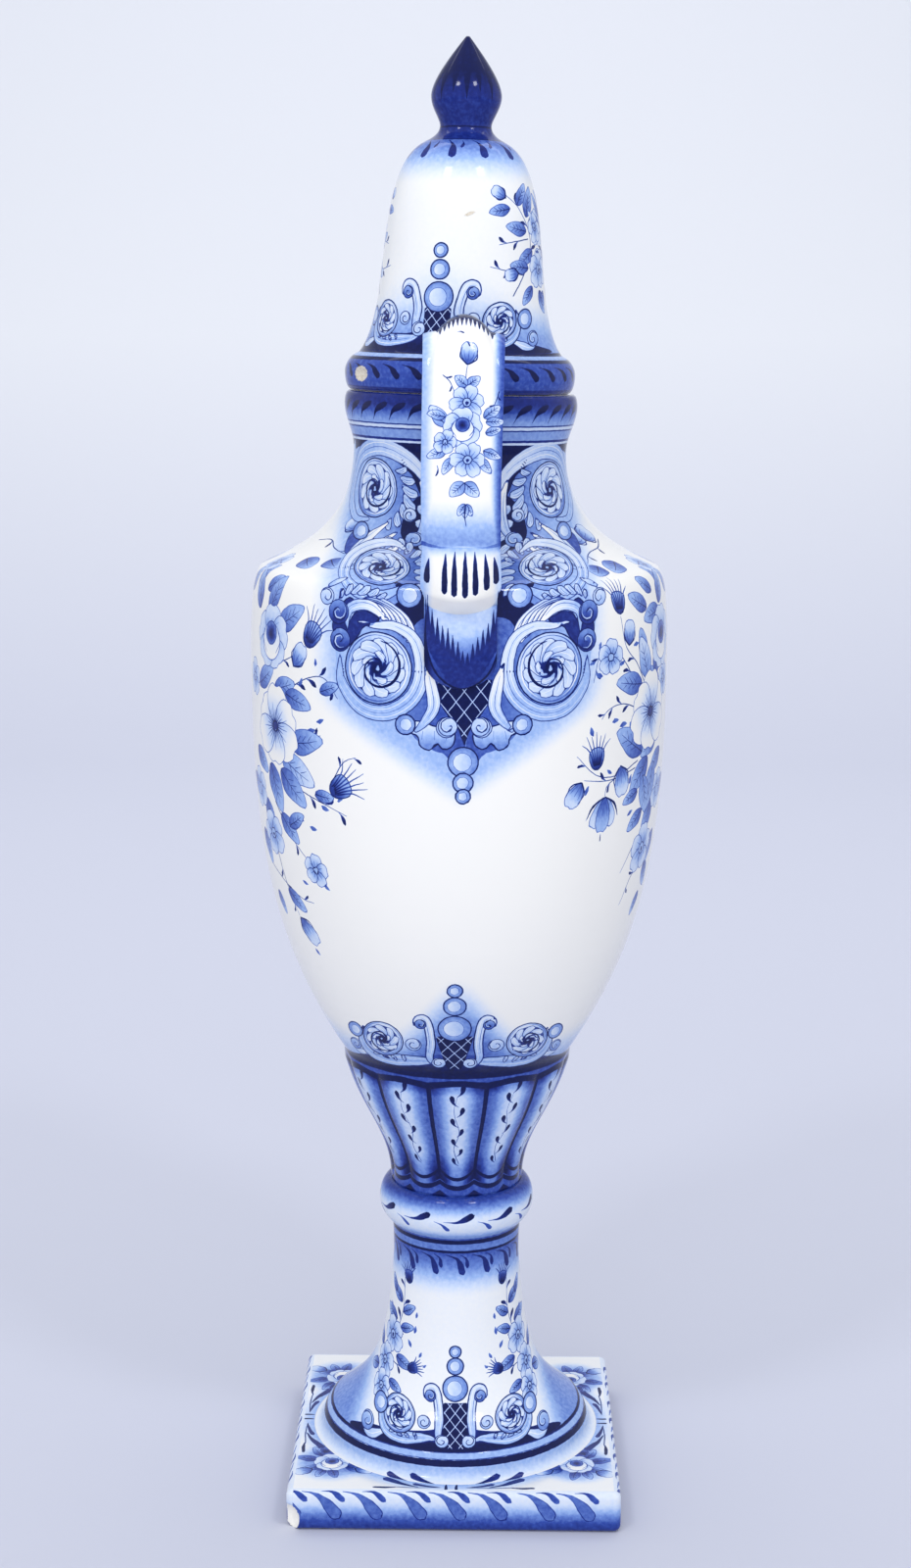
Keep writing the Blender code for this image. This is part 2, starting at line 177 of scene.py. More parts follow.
# Glaze: the sizes of its noises, the brush and the shine
STREAK_SCALE = 420.0
STREAK_DETAIL = 3.0
GRAIN_SCALE = 900.0
RIPPLE_SCALE = 55.0
WAVER_SCALE = 260.0
WAVER_WIDTH = 0.55
BLEED = 0.30
GLAZE_ROUGHNESS = 0.09
GLOSS_CHANGE = 0.03
CLAY_ROUGHNESS = 0.75
RUGGEDNESS = 6.0
BUMP_STRENGTH = 0.25
BUMP_DISTANCE = 0.0004
GLAZE_IOR = 1.45
GLAZE_SPECULAR = 0.24
PALE_CLAY = (0.86, 0.84, 0.80, 1.0)
BODY_CLAY = (0.84, 0.83, 0.80, 1.0)
LID_CLAY = (0.42, 0.34, 0.22, 1.0)
# tone, colour in the fired glaze
SURFACE_TONES = (
    (0.00, (0.830, 0.824, 0.800, 1.0)), (0.14, (0.570, 0.665, 0.840, 1.0)),
    (0.30, (0.305, 0.445, 0.770, 1.0)), (0.48, (0.130, 0.228, 0.590, 1.0)),
    (0.68, (0.031, 0.070, 0.360, 1.0)), (0.84, (0.009, 0.021, 0.180, 1.0)),
    (1.00, (0.003, 0.007, 0.062, 1.0)),
)

# Studio: the backdrop's sweep, the lamps and the camera
SWEEP_START = 2.4
SWEEP_RADIUS = 1.6
STAGE_REACH = 5.0
# Painted shade: the paper's colour darkens from high on the backdrop down to the floor
PAPER_SHADE_LOW = (0.540, 0.560, 0.660, 1.0)
PAPER_SHADE_HIGH = (0.675, 0.695, 0.745, 1.0)
PAPER_SHADE_LEVEL = 0.65
PAPER_ROUGHNESS = 0.9
SKY = (0.95, 0.965, 1.0, 1.0)
SKY_STRENGTH = 0.82
# name, azimuth in degrees, distance, height, size, power, whether the glaze mirrors it
LAMPS = (
    ("left_softbox", -34, 1.3, 2.0, 0.30, 7.0, True), ("right_softbox", 34, 1.3, 2.0, 0.30, 7.0, True),
    ("low_front", -6, 2.4, 0.35, 1.7, 25.0, False),
)
LAMPS_AIM = (0.0, 0.0, 0.45)
WASH_PLACE = (0.0, 1.4, 3.4)
WASH_WAY = (0.0, 2.6, -2.2)
WASH_SIZE = 3.0
WASH_POWER = 62.0
CAMERA_PLACE = (-0.00904, -1.42527, 0.69824)
CAMERA_PITCH = 0.18901
CAMERA_YAW = 0.00515
CAMERA_ROLL = 0.00447
CAMERA_LENS = 56.48
CAMERA_SENSOR = 36.0

# Tones of the blue
BARE = 0.0
PALE = 0.14
LIGHT = 0.30
MID = 0.48
COBALT = 0.68
DEEP = 0.84
NAVY = 1.0

# Brush
LAYERS = 10
NO_TONE = -1.0
FAR = 50.0
UNBROKEN = 9.0
STEP = 0.9
SPIRAL_POINTS = 26
BRACKET_CURL = 4.5
THIN = 0.16
FINE = 0.22
FIRM = 0.36
BOLD = 0.60
FRONT = math.radians(-90)
BACK = math.radians(90)
MM = 1000.0


# Turned outlines

def curve(start, end, first_pull, second_pull, steps=24):
    """Points of a cubic curve after its start. A pull is a share of the way to the end."""
    start, first_pull, second_pull = np.array(start), np.array(first_pull), np.array(second_pull)
    share = np.linspace(0, 1, steps + 1)[1:, None]
    one = 3 * share * (1 - share) ** 2
    two = 3 * share ** 2 * (1 - share)
    way = np.subtract(end, start)
    return start + way * (one * first_pull + two * second_pull + share ** 3)


def outline_through(stations):
    """Join curves through stations of (radius, height, first pull, second pull)."""
    points = [np.array([stations[0][:2]])]
    for before, after in zip(stations, stations[1:]):
        start, end, first_pull, second_pull = before[:2], after[:2], after[2], after[3]
        points.append(curve(start, end, first_pull, second_pull))
    return np.concatenate(points)


class Outline:
    """A turned outline that knows its radius and height at any length along it."""

    def __init__(self, points):
        self.points = points
        steps = np.hypot(*np.diff(points, axis=0).T)
        self.length = np.concatenate([[0], np.cumsum(steps)]) * MM

    def at(self, v):
        """Radius and height at a length in millimetres."""
        radius = np.interp(v, self.length, self.points[:, 0])
        return radius, np.interp(v, self.length, self.points[:, 1])

    def points_at(self, v):
        """Points at lengths in millimetres."""
        return np.stack(self.at(v), 1)

    def length_at(self, height):
        """The length at a height, for an outline that climbs."""
        return float(np.interp(height, self.points[:, 1], self.length))


BODY = Outline(outline_through([
    (RING_RADIUS + RING_COVE, PLINTH_THICK),
    (RING_RADIUS, PLINTH_THICK + RING_COVE, (0.55, 0.0), (1.0, 0.45)),
    (BELL_RADIUS, RING_TOP, (0.0, 0.40), (0.75, 0.85)),
    (STEM_RADIUS, STEM_LEVEL, (0.711, 0.208), (0.886, 0.341)),
    (TORUS_FOOT_RADIUS, TORUS_FOOT, (0.0, 0.50), (0.30, 0.85)),
    (TORUS_RADIUS, (TORUS_FOOT + CUP_FOOT) / 2, (0.40, 0.15), (1.0, 0.55)),
    (CUP_FOOT_RADIUS, CUP_FOOT, (0.0, 0.50), (0.30, 0.95)),
    (CUP_RADIUS, CUP_TOP, (0.0, 0.370), (0.680, 0.560)),
    (BELLY_FOOT_RADIUS, BELLY_FOOT, (0.20, 0.40), (0.70, 0.80)),
    (BELLY_RADIUS, BELLY_LEVEL, (0.892, 0.305), (1.0, 0.589)),
    (SHOULDER_RADIUS, SHOULDER_LEVEL, (0.0, 0.69), (0.36, 0.945)),
    (NECK_RADIUS, NECK_LEVEL, (0.15, 0.090), (1.0, 0.240)),
    (COLLAR_RADIUS, COLLAR_LEVEL, (0.0, 0.39), (0.93, 0.59)),
    (MOUTH_RADIUS, MOUTH_LEVEL, (0.0, 0.55), (0.45, 1.0)),
]))
LID = Outline(outline_through([
    (LID_SEAT_RADIUS, SEAT_LEVEL),
    (LID_RIM_BULGE, (SEAT_LEVEL + LID_FLARE_LEVEL) / 2, (0.70, 0.05), (1.0, 0.50)),
    (LID_FLARE_RADIUS, LID_FLARE_LEVEL, (0.0, 0.38), (0.40, 0.85)),
    (LID_DOME_RADIUS, LID_DOME_LEVEL, (0.43, 0.13), (0.86, 0.57)),
    (LID_CAP_RADIUS, LID_CAP_LEVEL, (0.176, 0.364), (0.157, 0.873)),
    (BUD_NECK_RADIUS, BUD_NECK_LEVEL, (0.47, 0.22), (1.0, 0.50)),
    (BUD_RADIUS, BUD_LEVEL, (0.09, 0.28), (1.0, 0.59)),
    (BUD_TIP_RADIUS, TIP_LEVEL, (0.0, 0.26), (0.577, 0.692)),
]))
CUP_AT = BODY.length_at(CUP_FOOT)
MOUTH_AT = BODY.length[-1]


def ease(share):
    """Go smoothly from 0 to 1 as the share does."""
    held = np.clip(share, 0.0, 1.0)
    return held * held * (3 - 2 * held)


def between(value, low, high, soft):
    """1 inside a range and 0 outside it, with soft ends."""
    return ease((value - low) / soft + 0.5) * ease((high - value) / soft + 0.5)


def wrapped(angle):
    """An angle brought between minus and plus half a turn."""
    return (angle + math.pi) % (2 * math.pi) - math.pi


def inner_side(points, wall):
    """An outline moved inward, square to itself, by the wall's thickness."""
    way = np.gradient(points, axis=0)
    way /= np.hypot(way[:, 0], way[:, 1])[:, None]
    return points + wall * np.stack([-way[:, 1], way[:, 0]], 1)


def leaned(place):
    """Turn what is above the neck about its middle, and ease in over the span below it."""
    above = place[..., 2] - NECK_LEVEL
    angle = LEAN * ease(above / LEAN_SPAN + 1.0)
    x = place[..., 0] * np.cos(angle) + above * np.sin(angle)
    z = above * np.cos(angle) - place[..., 0] * np.sin(angle)
    return np.stack([x, place[..., 1], NECK_LEVEL + z], -1)


def off_crest(angle):
    """How far an angle lies from the nearest gadroon's crest: 0 there and 1 at a seam."""
    pitch = 2 * math.pi / LOBES
    return np.abs((angle + pitch / 2) % pitch - pitch / 2) * 2 / pitch


def lobe_cut(height, angle):
    """How far a gadroon's surface lies inside its crest."""
    climb = (height - CUP_FOOT) / (BELLY_FOOT - CUP_FOOT)
    fullness = np.minimum(1.0, 0.35 + 3.0 * climb)
    fade = ease(climb * 12) * ease((1 - climb) * 9)
    return LOBE_DEPTH * fullness * fade * off_crest(angle) ** 2


# Meshes

def add_item(name, data):
    """An object of the scene."""
    item = bpy.data.objects.new(name, data)
    bpy.context.scene.collection.objects.link(item)
    return item


def build_mesh(name, points, quads, fans=()):
    """A closed smooth mesh whose first faces are the quads."""
    mesh = bpy.data.meshes.new(name)
    mesh.from_pydata(points.tolist(), [], quads.tolist() + [list(fan) for fan in fans])
    mesh.update()
    mesh.shade_smooth()
    return add_item(name, mesh)


def ring_quads(rows, columns):
    """Corner numbers of the quads between closed rings of points, ring after ring."""
    row = np.arange(rows - 1)[:, None] * columns
    column = np.arange(columns)
    following = (column + 1) % columns
    corners = [row + column, row + following, row + columns + following, row + columns + column]
    return np.stack(corners, -1).reshape(-1, 4)


def turned(name, profile, columns, shape, poles):
    """A closed solid of revolution. shape(radius, angle, height) gives its points."""
    angle = np.arange(columns) * 2 * math.pi / columns
    radius, height = (np.repeat(part[:, None], columns, 1) for part in profile.T)
    points = shape(radius, np.broadcast_to(angle, radius.shape), height)
    ends = shape(np.zeros(2), np.zeros(2), np.array(poles))
    quads = ring_quads(len(profile), columns)
    first, last = len(profile) * columns, len(profile) * columns + 1
    top = (len(profile) - 1) * columns
    fans = []
    for column in range(columns):
        following = (column + 1) % columns
        fans.append((first, following, column))
        fans.append((top + column, top + following, last))
    return build_mesh(name, np.concatenate([points.reshape(-1, 3), ends]), quads, fans)


# Painting: the brush

def stroke_values(distance, half, fill, line):
    """What face corners keep of a stroke: distance, half width, fill tone and line tone."""
    return np.stack(np.broadcast_arrays(distance, half, fill, line), -1).astype(np.float32)


class Canvas:
    """The painted faces of a piece: where their corners lie, and the strokes on each."""

    def __init__(self, across, along, reach, first_face=0):
        self.across = across
        self.along = along
        self.reach = reach
        self.first_face = first_face
        self.count = np.zeros(len(across), int)
        self.strokes = np.zeros((LAYERS, len(across), 4, 4), np.float32)
        self.strokes[:] = (FAR, NO_TONE, NO_TONE, NO_TONE)
        self.ground = np.zeros(across.shape)
        self.bare = np.full(across.shape, UNBROKEN)

    def lay(self, faces, values, covers):
        """Put a stroke over what each face has. A covering fill hides what is under it."""
        hidden = faces[covers]
        self.count[hidden] = 0
        self.strokes[:, hidden] = (FAR, NO_TONE, NO_TONE, NO_TONE)
        crowded = faces[self.count[faces] >= LAYERS]
        self.strokes[1:-1, crowded] = self.strokes[2:, crowded]
        self.count[crowded] = LAYERS - 1
        self.strokes[self.count[faces], faces] = values
        self.count[faces] += 1

    def band(self, low, high, tone, edge=0.0, edge_tone=NO_TONE, wave=None):
        """A band right round, between two lengths along the outline."""
        along = self.along if wave is None else self.along - wave(self.across)
        distance = np.maximum(low - along, along - high)
        faces = np.flatnonzero(distance.min(1) < edge + 0.5)
        values = stroke_values(distance[faces], edge if edge > 0 else NO_TONE, tone, edge_tone)
        self.lay(faces, values, distance[faces].max(1) < -edge - 0.5)

    def ring(self, level, half, tone, wave=None):
        """A line right round at a length along the outline."""
        along = self.along if wave is None else self.along - wave(self.across)
        distance = along - level
        faces = np.flatnonzero(np.abs(distance).min(1) < half + 2.5)
        faces = faces[(distance[faces].min(1) < half) & (distance[faces].max(1) > -half)]
        self.lay(faces, stroke_values(distance[faces], half, NO_TONE, tone), np.zeros(len(faces), bool))


def finished(item, finish, *canvases):
    """Give a piece its finish, and its painting as attributes of the mesh's face corners."""
    mesh = item.data
    firsts = [canvas.first_face * 4 for canvas in canvases]
    spans = [slice(first, first + canvas.across.size) for first, canvas in zip(firsts, canvases)]
    for layer in range(LAYERS):
        data = np.tile(np.array((FAR, NO_TONE, NO_TONE, NO_TONE), np.float32), (len(mesh.loops), 1))
        for canvas, span in zip(canvases, spans):
            data[span] = canvas.strokes[layer].reshape(-1, 4)
        attribute = mesh.attributes.new("stroke_%d" % layer, "FLOAT_COLOR", "CORNER")
        attribute.data.foreach_set("color", data.ravel())
    for name, blank in (("ground", BARE), ("bare", UNBROKEN)):
        data = np.full(len(mesh.loops), blank, np.float32)
        for canvas, span in zip(canvases, spans):
            data[span] = getattr(canvas, name).reshape(-1)
        mesh.attributes.new(name, "FLOAT", "CORNER").data.foreach_set("value", data)
    mesh.materials.append(finish)
    return item


def smooth_path(points, closed=False):
    """A smooth line through points, as evenly spaced ones."""
    points = np.asarray(points, float)
    if closed:
        padded = np.concatenate([points[-1:], points, points[:2]])
    else:
        padded = np.concatenate([2 * points[:1] - points[1:2], points, 2 * points[-1:] - points[-2:-1]])
    fine = []
    for index in range(1, len(padded) - 2):
        before, start, end, after = padded[index - 1:index + 3]
        steps = max(2, int(np.hypot(*(end - start)) / 0.3))
        t = np.arange(steps)[:, None] / steps
        fine.append(start + 0.5 * t * (end - before + t * (2 * before - 5 * start + 4 * end - after
                    + t * (3 * (start - end) + after - before))))
    if not closed:
        fine.append(points[-1:])
    fine = np.concatenate(fine)
    if closed:
        fine = np.concatenate([fine, fine[:1]])
    length = np.concatenate([[0], np.cumsum(np.hypot(*np.diff(fine, axis=0).T))])
    count = max(3, int(length[-1] / STEP) + 1)
    even = np.linspace(0, length[-1], count)
    return np.stack([np.interp(even, length, fine[:, axis]) for axis in (0, 1)], 1)


def spread(value, count):
    """A value, or values spread evenly along a line, at each of its points."""
    values = np.atleast_1d(value)
    return np.interp(np.linspace(0, 1, count), np.linspace(0, 1, len(values)), values)


def nearest_on(path, points):
    """The distance of points from a path, and the place on it that is nearest."""
    way = np.diff(path, axis=0)
    run = np.maximum((way ** 2).sum(1), 1e-9)
    rest = points[:, None] - path[None, :-1]
    share = np.clip((rest * way).sum(-1) / run, 0, 1)
    rest -= share[..., None] * way
    square = (rest ** 2).sum(-1)
    best = square.argmin(1)
    row = np.arange(len(points))
    return np.sqrt(square[row, best]), best + share[row, best]


def is_inside(path, points):
    """Whether points lie inside a closed path."""
    start, end = path[:-1], path[1:]
    x, y = points[:, 0, None], points[:, 1, None]
    spans = (start[:, 1] > y) != (end[:, 1] > y)
    rise = np.where(end[:, 1] == start[:, 1], 1e-9, end[:, 1] - start[:, 1])
    crossing = start[:, 0] + (y - start[:, 1]) * (end[:, 0] - start[:, 0]) / rise
    return (spans & (x < crossing)).sum(-1) % 2 == 1


class Pen:
    """Draws in a motif's own millimetres, somewhere on a canvas, turned, sized or mirrored."""

    def __init__(self, canvas, centre, low, high, half_width):
        x = canvas.across - centre
        if canvas.reach is not None:
            x = wrapped(x) * canvas.reach
        y = canvas.along
        middle_x, middle_y = x.mean(1), y.mean(1)
        self.canvas = canvas
        self.faces = np.flatnonzero((np.abs(middle_x) < half_width) & (middle_y > low) & (middle_y < high))
        self.corners = np.stack([x[self.faces], y[self.faces]], -1)
        self.middles = np.stack([middle_x[self.faces], middle_y[self.faces]], -1)
        self.turning = np.eye(2)
        self.origin = np.zeros(2)
        self.size = 1.0

    def at(self, x, y, turn=0.0, size=1.0, mirror=False, reach=None):
        """A pen placed within this one: turned in degrees, then sized and mirrored."""
        angle = math.radians(turn)
        way = np.array([[math.cos(angle), -math.sin(angle)], [math.sin(angle), math.cos(angle)]])
        if mirror:
            way = way @ np.diag([-1.0, 1.0])
        pen = Pen.__new__(Pen)
        pen.canvas = self.canvas
        pen.turning = self.turning @ way * size
        pen.origin = self.origin + self.turning @ (x, y)
        pen.size = self.size * size
        pen.faces, pen.corners, pen.middles = self.faces, self.corners, self.middles
        if reach is not None:
            near = np.abs(self.middles - pen.origin).max(1) < reach * pen.size + 3
            pen.faces, pen.corners, pen.middles = self.faces[near], self.corners[near], self.middles[near]
        return pen

    def placed(self, points):
        """Points of the motif on the canvas."""
        return np.asarray(points, float) @ self.turning.T + self.origin

    def near(self, path, margin):
        """The faces in the box round a path."""
        low, high = path.min(0) - margin, path.max(0) + margin
        return np.flatnonzero(((self.middles > low) & (self.middles < high)).all(1))

    def line(self, points, width=FINE, tone=NAVY, smooth=True):
        """A brush line. Its half width and its tone may change along it."""
        path = self.placed(points)
        path = smooth_path(path) if smooth else path
        half = spread(width, len(path)) * self.size
        tone = spread(tone, len(path))
        pick = self.near(path, half.max() + 2.5)
        if not len(pick):
            return
        way = np.diff(path, axis=0)
        run = (way ** 2).sum(1)
        rest = self.middles[pick][:, None] - path[None, :-1]
        share = np.clip((rest * way).sum(-1) / run, 0, 1)
        gap = np.hypot(*np.moveaxis(rest - share[..., None] * way, -1, 0))
        best = gap.argmin(1)
        corners = self.corners[pick]
        spans = np.abs(corners - self.middles[pick][:, None]).sum(-1).max(1)
        close = gap[np.arange(len(pick)), best] < half.max() + spans
        pick, best, corners = pick[close], best[close], corners[close]
        if not len(pick):
            return
        window = np.clip(best[:, None] + np.arange(-3, 4), 0, len(way) - 1)[:, None, :]
        rest = corners[:, :, None] - path[window]
        ways, runs = way[window], run[window]
        share = (rest * ways).sum(-1) / runs
        low = np.where(window == 0, -99.0, 0.0)
        high = np.where(window == len(way) - 1, 99.0, 1.0)
        share = np.clip(share, low, high)
        gap = np.hypot(*np.moveaxis(rest - share[..., None] * ways, -1, 0))
        side = np.sign(ways[..., 0] * rest[..., 1] - ways[..., 1] * rest[..., 0])
        nearest = gap.argmin(-1)[..., None]
        gap, side, share, runs = (np.take_along_axis(a, nearest, -1)[..., 0]
                                  for a in (gap, side, share, np.broadcast_to(runs, gap.shape)))
        number = np.take_along_axis(np.broadcast_to(window, window.shape[:1] + (4, 7)), nearest, -1)[..., 0]
        held = np.clip(share, 0, 1)
        over = np.abs(share - held) * np.sqrt(runs)
        place = number + held
        wide = np.interp(place, np.arange(len(half)), half)
        rounded = np.where(over < wide, np.sqrt(np.clip(wide ** 2 - over ** 2, 0, None)), wide - over)
        line_tone = np.interp(place, np.arange(len(tone)), tone)
        values = stroke_values(side * gap, rounded, NO_TONE, line_tone)
        signed, wide = values[..., 0], values[..., 1]
        seen = (wide.max(1) > 0) & (signed.min(1) < wide.max(1)) & (signed.max(1) > -wide.max(1))
        self.canvas.lay(self.faces[pick[seen]], values[seen], np.zeros(seen.sum(), bool))

    def shape(self, points, fill=NO_TONE, width=FINE, tone=NAVY, smooth=True):
        """A closed form with a fill, which may be a function of the motif's x and y."""
        path = self.placed(points)
        path = smooth_path(path, closed=True) if smooth else np.concatenate([path, path[:1]])
        half = spread(width, len(path)) * self.size
        tones = spread(tone, len(path))
        pick = self.near(path, half.max() + 2.0)
        if not len(pick):
            return
        corners = self.corners[pick]
        spans = np.abs(corners - self.middles[pick][:, None]).sum(-1).max(1)
        gap, place = nearest_on(path, self.middles[pick])
        distance = np.repeat(np.where(is_inside(path, self.middles[pick]), -gap, gap)[:, None], 4, 1)
        places = np.repeat(place[:, None], 4, 1)
        close = gap < spans + half.max() + 0.4
        near_corners = corners[close].reshape(-1, 2)
        gap, place = nearest_on(path, near_corners)
        distance[close] = np.where(is_inside(path, near_corners), -gap, gap).reshape(-1, 4)
        places[close] = place.reshape(-1, 4)
        hollow = not callable(fill) and fill < 0
        seen = distance.min(1) < half.max() + 0.3
        if hollow:
            seen &= distance.max(1) > -half.max() - 0.3
        distance, places, corners = distance[seen], places[seen], corners[seen]
        number = np.arange(len(half))
        values = stroke_values(distance, np.interp(places, number, half), self.filled(fill, corners),
                               np.interp(places, number, tones))
        covers = np.zeros(len(distance), bool) if hollow else distance.max(1) < -half.max() - 0.4
        self.canvas.lay(self.faces[pick[seen]], values, covers)

    def filled(self, fill, corners):
        """A fill's tone at face corners."""
        if not callable(fill):
            return fill
        own = (corners - self.origin) @ np.linalg.inv(self.turning).T
        return np.maximum(fill(own[..., 0], own[..., 1]), 0.0)

    def disc(self, x, y, radius, fill, width, tone):
        """A round form."""
        turn = np.linspace(0, 2 * math.pi, 13)[:-1]
        points = np.stack([x + radius * np.cos(turn), y + radius * np.sin(turn)], 1)
        self.shape(points, fill, width, tone)

    def comma(self, x, y, length, width, turn=0.0, bend=0.25, tone=(COBALT, NAVY)):
        """A comma: a fine tail that swells to a round head. It starts at x, y."""
        own = self.at(x, y, turn)
        points = [(0, 0), (length * 0.45, length * bend * 0.8), (length * 0.95, length * bend * 0.35)]
        own.line(points, (0.12, 0.18, 0.45 * width, 0.95 * width, width, 0.6 * width), tone)


def around(canvas, count, low, high, half_width, turn=0.0):
    """Pens spaced evenly round a turned piece, the first at its front."""
    for index in range(count):
        yield Pen(canvas, FRONT + turn + index * 2 * math.pi / count, low, high, half_width)


def halves(pen):
    """A motif's right half and its mirrored left half."""
    return pen, pen.at(0, 0, mirror=True)


def both_sides(right):
    """A closed form from its right side, given from the foot to the middle line."""
    left = [(-x, y) for x, y in right if x > 0]
    return left[:1] + list(right) + left[:0:-1]


def sized(points, x, y=None):
    """Points given as shares, in millimetres."""
    return np.multiply(points, (x, x if y is None else y))


def fade(first, last, start, end):
    """A tone that changes from a start point to an end point."""
    way = np.subtract(end, start)

    def tone(x, y):
        share = ((x - start[0]) * way[0] + (y - start[1]) * way[1]) / (way @ way)
        return first + (last - first) * ease(share)
    return tone


def bloom(middle, rim, centre, radius):
    """A tone that changes outward from a point."""

    def tone(x, y):
        share = np.hypot(x - centre[0], y - centre[1]) / radius
        return middle + (rim - middle) * ease(share)
    return tone


# Painting: motifs

def bead(pen, x, y, radius):
    """A round bead with a light heart, a dark rim and an inner line at its lower side."""
    pen.disc(x, y, radius, bloom(PALE, MID, (x - 0.1 * radius, y), radius * 1.05), FIRM, NAVY)
    heart = fade(PALE * 0.6, LIGHT, (x - radius, y), (x + radius, y))
    pen.disc(x - 0.05 * radius, y, radius * 0.62, heart, FINE * 0.6, COBALT)


def spiral(radius, start, turns, end=0.16):
    """Points of a spiral that winds inward, counterclockwise."""
    share = np.linspace(0, 1, SPIRAL_POINTS)
    angle = math.radians(start) + share * turns * 2 * math.pi
    reach = radius * (1 - (1 - end) * share)
    return np.stack([reach * np.cos(angle), reach * np.sin(angle)], 1)


def curl(pen, radius, start, turns, fill):
    """A small closed scroll: a disc with a spiral line and a dark eye."""
    pen.disc(0, 0, radius, fade(fill * 0.55, fill, (0, radius), (0, -radius)), FINE, NAVY)
    pen.line(spiral(radius * 0.92, start, turns), (FINE, FIRM * 0.8, FINE * 0.6), NAVY)
    pen.line(spiral(radius * 0.72, start + 30, turns * 0.8), (0.05, radius * 0.05, 0.05), PALE)


def volute(pen, radius, start, turns=1.25, fingers=9):
    """An acanthus scroll: a striped back, and leaf fingers that whirl toward its heart."""
    pen.disc(0, 0, radius, fade(PALE, MID, (-radius, radius), (radius, -radius)), FIRM, NAVY)
    stripes = ((10, COBALT), (70, BARE), (150, COBALT), (215, BARE), (285, COBALT))
    for first, tone in stripes:
        arc = np.radians(np.linspace(start + first, start + first + 95, 8))
        reach = radius * (0.87 if tone == BARE else 0.92)
        pen.line(sized(np.stack([np.cos(arc), np.sin(arc)], 1), reach), (0.05, radius * 0.018, 0.05), tone)
    pen.disc(0, 0, radius * 0.78, bloom(NAVY, COBALT, (0, 0), 0.7 * radius), FINE, NAVY)
    share = np.linspace(0, 1, 6)
    for level, count, sweep in ((0.78, fingers, 80), (0.46, 5, 95)):
        wide = radius * level
        for index in range(count):
            angle = np.radians(start + 360 * index / count + sweep * share)
            points = np.stack([np.cos(angle), np.sin(angle)], 1) * (wide * (1 - 0.66 * share))[:, None]
            plume(pen, points, np.multiply((0.09, 0.21, 0.19, 0.13, 0.04), wide), 1, outline=THIN)
    line = (FINE, radius * 0.042, radius * 0.030, THIN)
    pen.line(spiral(radius * 0.78, start + 15, turns, 0.10), line, NAVY)
    pen.disc(0, 0, radius * 0.10, LIGHT, FINE, NAVY)


def lobe(pen, length):
    """One leaf lobe of a scroll, curved like a comma, with fine veins."""
    points = [(-0.52, -0.14), (-0.30, 0.16), (0.14, 0.29), (0.48, 0.12), (0.34, -0.12), (-0.10, -0.14)]
    fill = fade(PALE, LIGHT, (0, 0.25 * length), (0, -0.2 * length))
    pen.shape(sized(points, length), fill, FINE, (DEEP, NAVY, NAVY))
    for lift in (0.13, 0.0):
        vein = [(-0.38, lift * 0.3), (0.02, lift + 0.05), (0.32, lift * 0.8)]
        pen.line(sized(vein, length), (0.05, 0.15, 0.05), COBALT)


def fronds(pen, points, size, lean, count=None):
    """Leaf lobes set along a line like the edge of an acanthus leaf, growing toward its middle."""
    path = smooth_path(points)
    count = count or max(3, int(len(path) * STEP / (size * 0.62)))
    for index in range(count):
        share = (index + 0.5) / count
        place = int(share * (len(path) - 2))
        way = path[place + 1] - path[place]
        turn = math.degrees(math.atan2(way[1], way[0]))
        grow = 0.70 + 0.45 * math.sin(math.pi * share)
        lobe(pen.at(*path[place], turn + lean, reach=size * 2), size * grow)


def plume(pen, points, width, strands=2, light=PALE, dark=LIGHT, tone=NAVY, outline=FINE):
    """A leafy ribbon along a line, with strands that follow it. Its half width varies."""
    path = smooth_path(points)
    half = spread(width, len(path))
    way = np.gradient(path, axis=0)
    way /= np.hypot(*way.T)[:, None]
    side = np.stack([-way[:, 1], way[:, 0]], 1) * half[:, None]
    edge = np.concatenate([path + side, (path - side)[::-1]])[::2]
    pen.shape(edge, fade(light, dark, path[0], path[-1]), outline, (tone, DEEP, tone, DEEP))
    for strand in range(strands):
        odd = strand % 2
        inner = path + side * ((strand + 1) / (strands + 1) * 2 - 1)
        low, high = int(len(path) * (0.06 + 0.10 * odd)), int(len(path) * (0.90 - 0.12 * odd))
        pen.line(inner[low:max(3, high):2], (0.05, 0.18, 0.05), COBALT if odd else BARE)


def leaf_foot(pen, x, y, size):
    """The lobed leaf under a scroll's foot, spreading to the right."""
    own = pen.at(x, y)
    points = [(-0.95, 0.55), (-1.0, -0.25), (-0.45, -0.60), (0.0, -0.20), (0.35, -0.65), (0.95, -0.40),
              (1.05, 0.15), (1.5, 0.35), (1.45, 0.95), (0.8, 1.0), (0.1, 0.75)]
    own.shape(sized(points, size), fade(PALE, MID, (0, 0.8 * size), (0, -0.6 * size)), FIRM, NAVY)
    for place in (-0.5, 0.1, 0.75):
        vein = [(place, 0.55), (place * 1.15, -0.15)]
        own.line(sized(vein, size), (0.08, FINE, 0.08), COBALT, smooth=False)


def dashes(pen, x, y, turn, count):
    """A few parallel dashes across a scroll's back, the middle ones longest."""
    own = pen.at(x, y, turn, reach=14)
    for index in range(count):
        place = index - (count - 1) / 2
        offset, reach = 1.7 * place, 1.5 - 0.375 * abs(place)
        own.line([(offset, -reach), (offset + 0.25, 0), (offset, reach)], (0.08, FIRM, 0.08), NAVY)


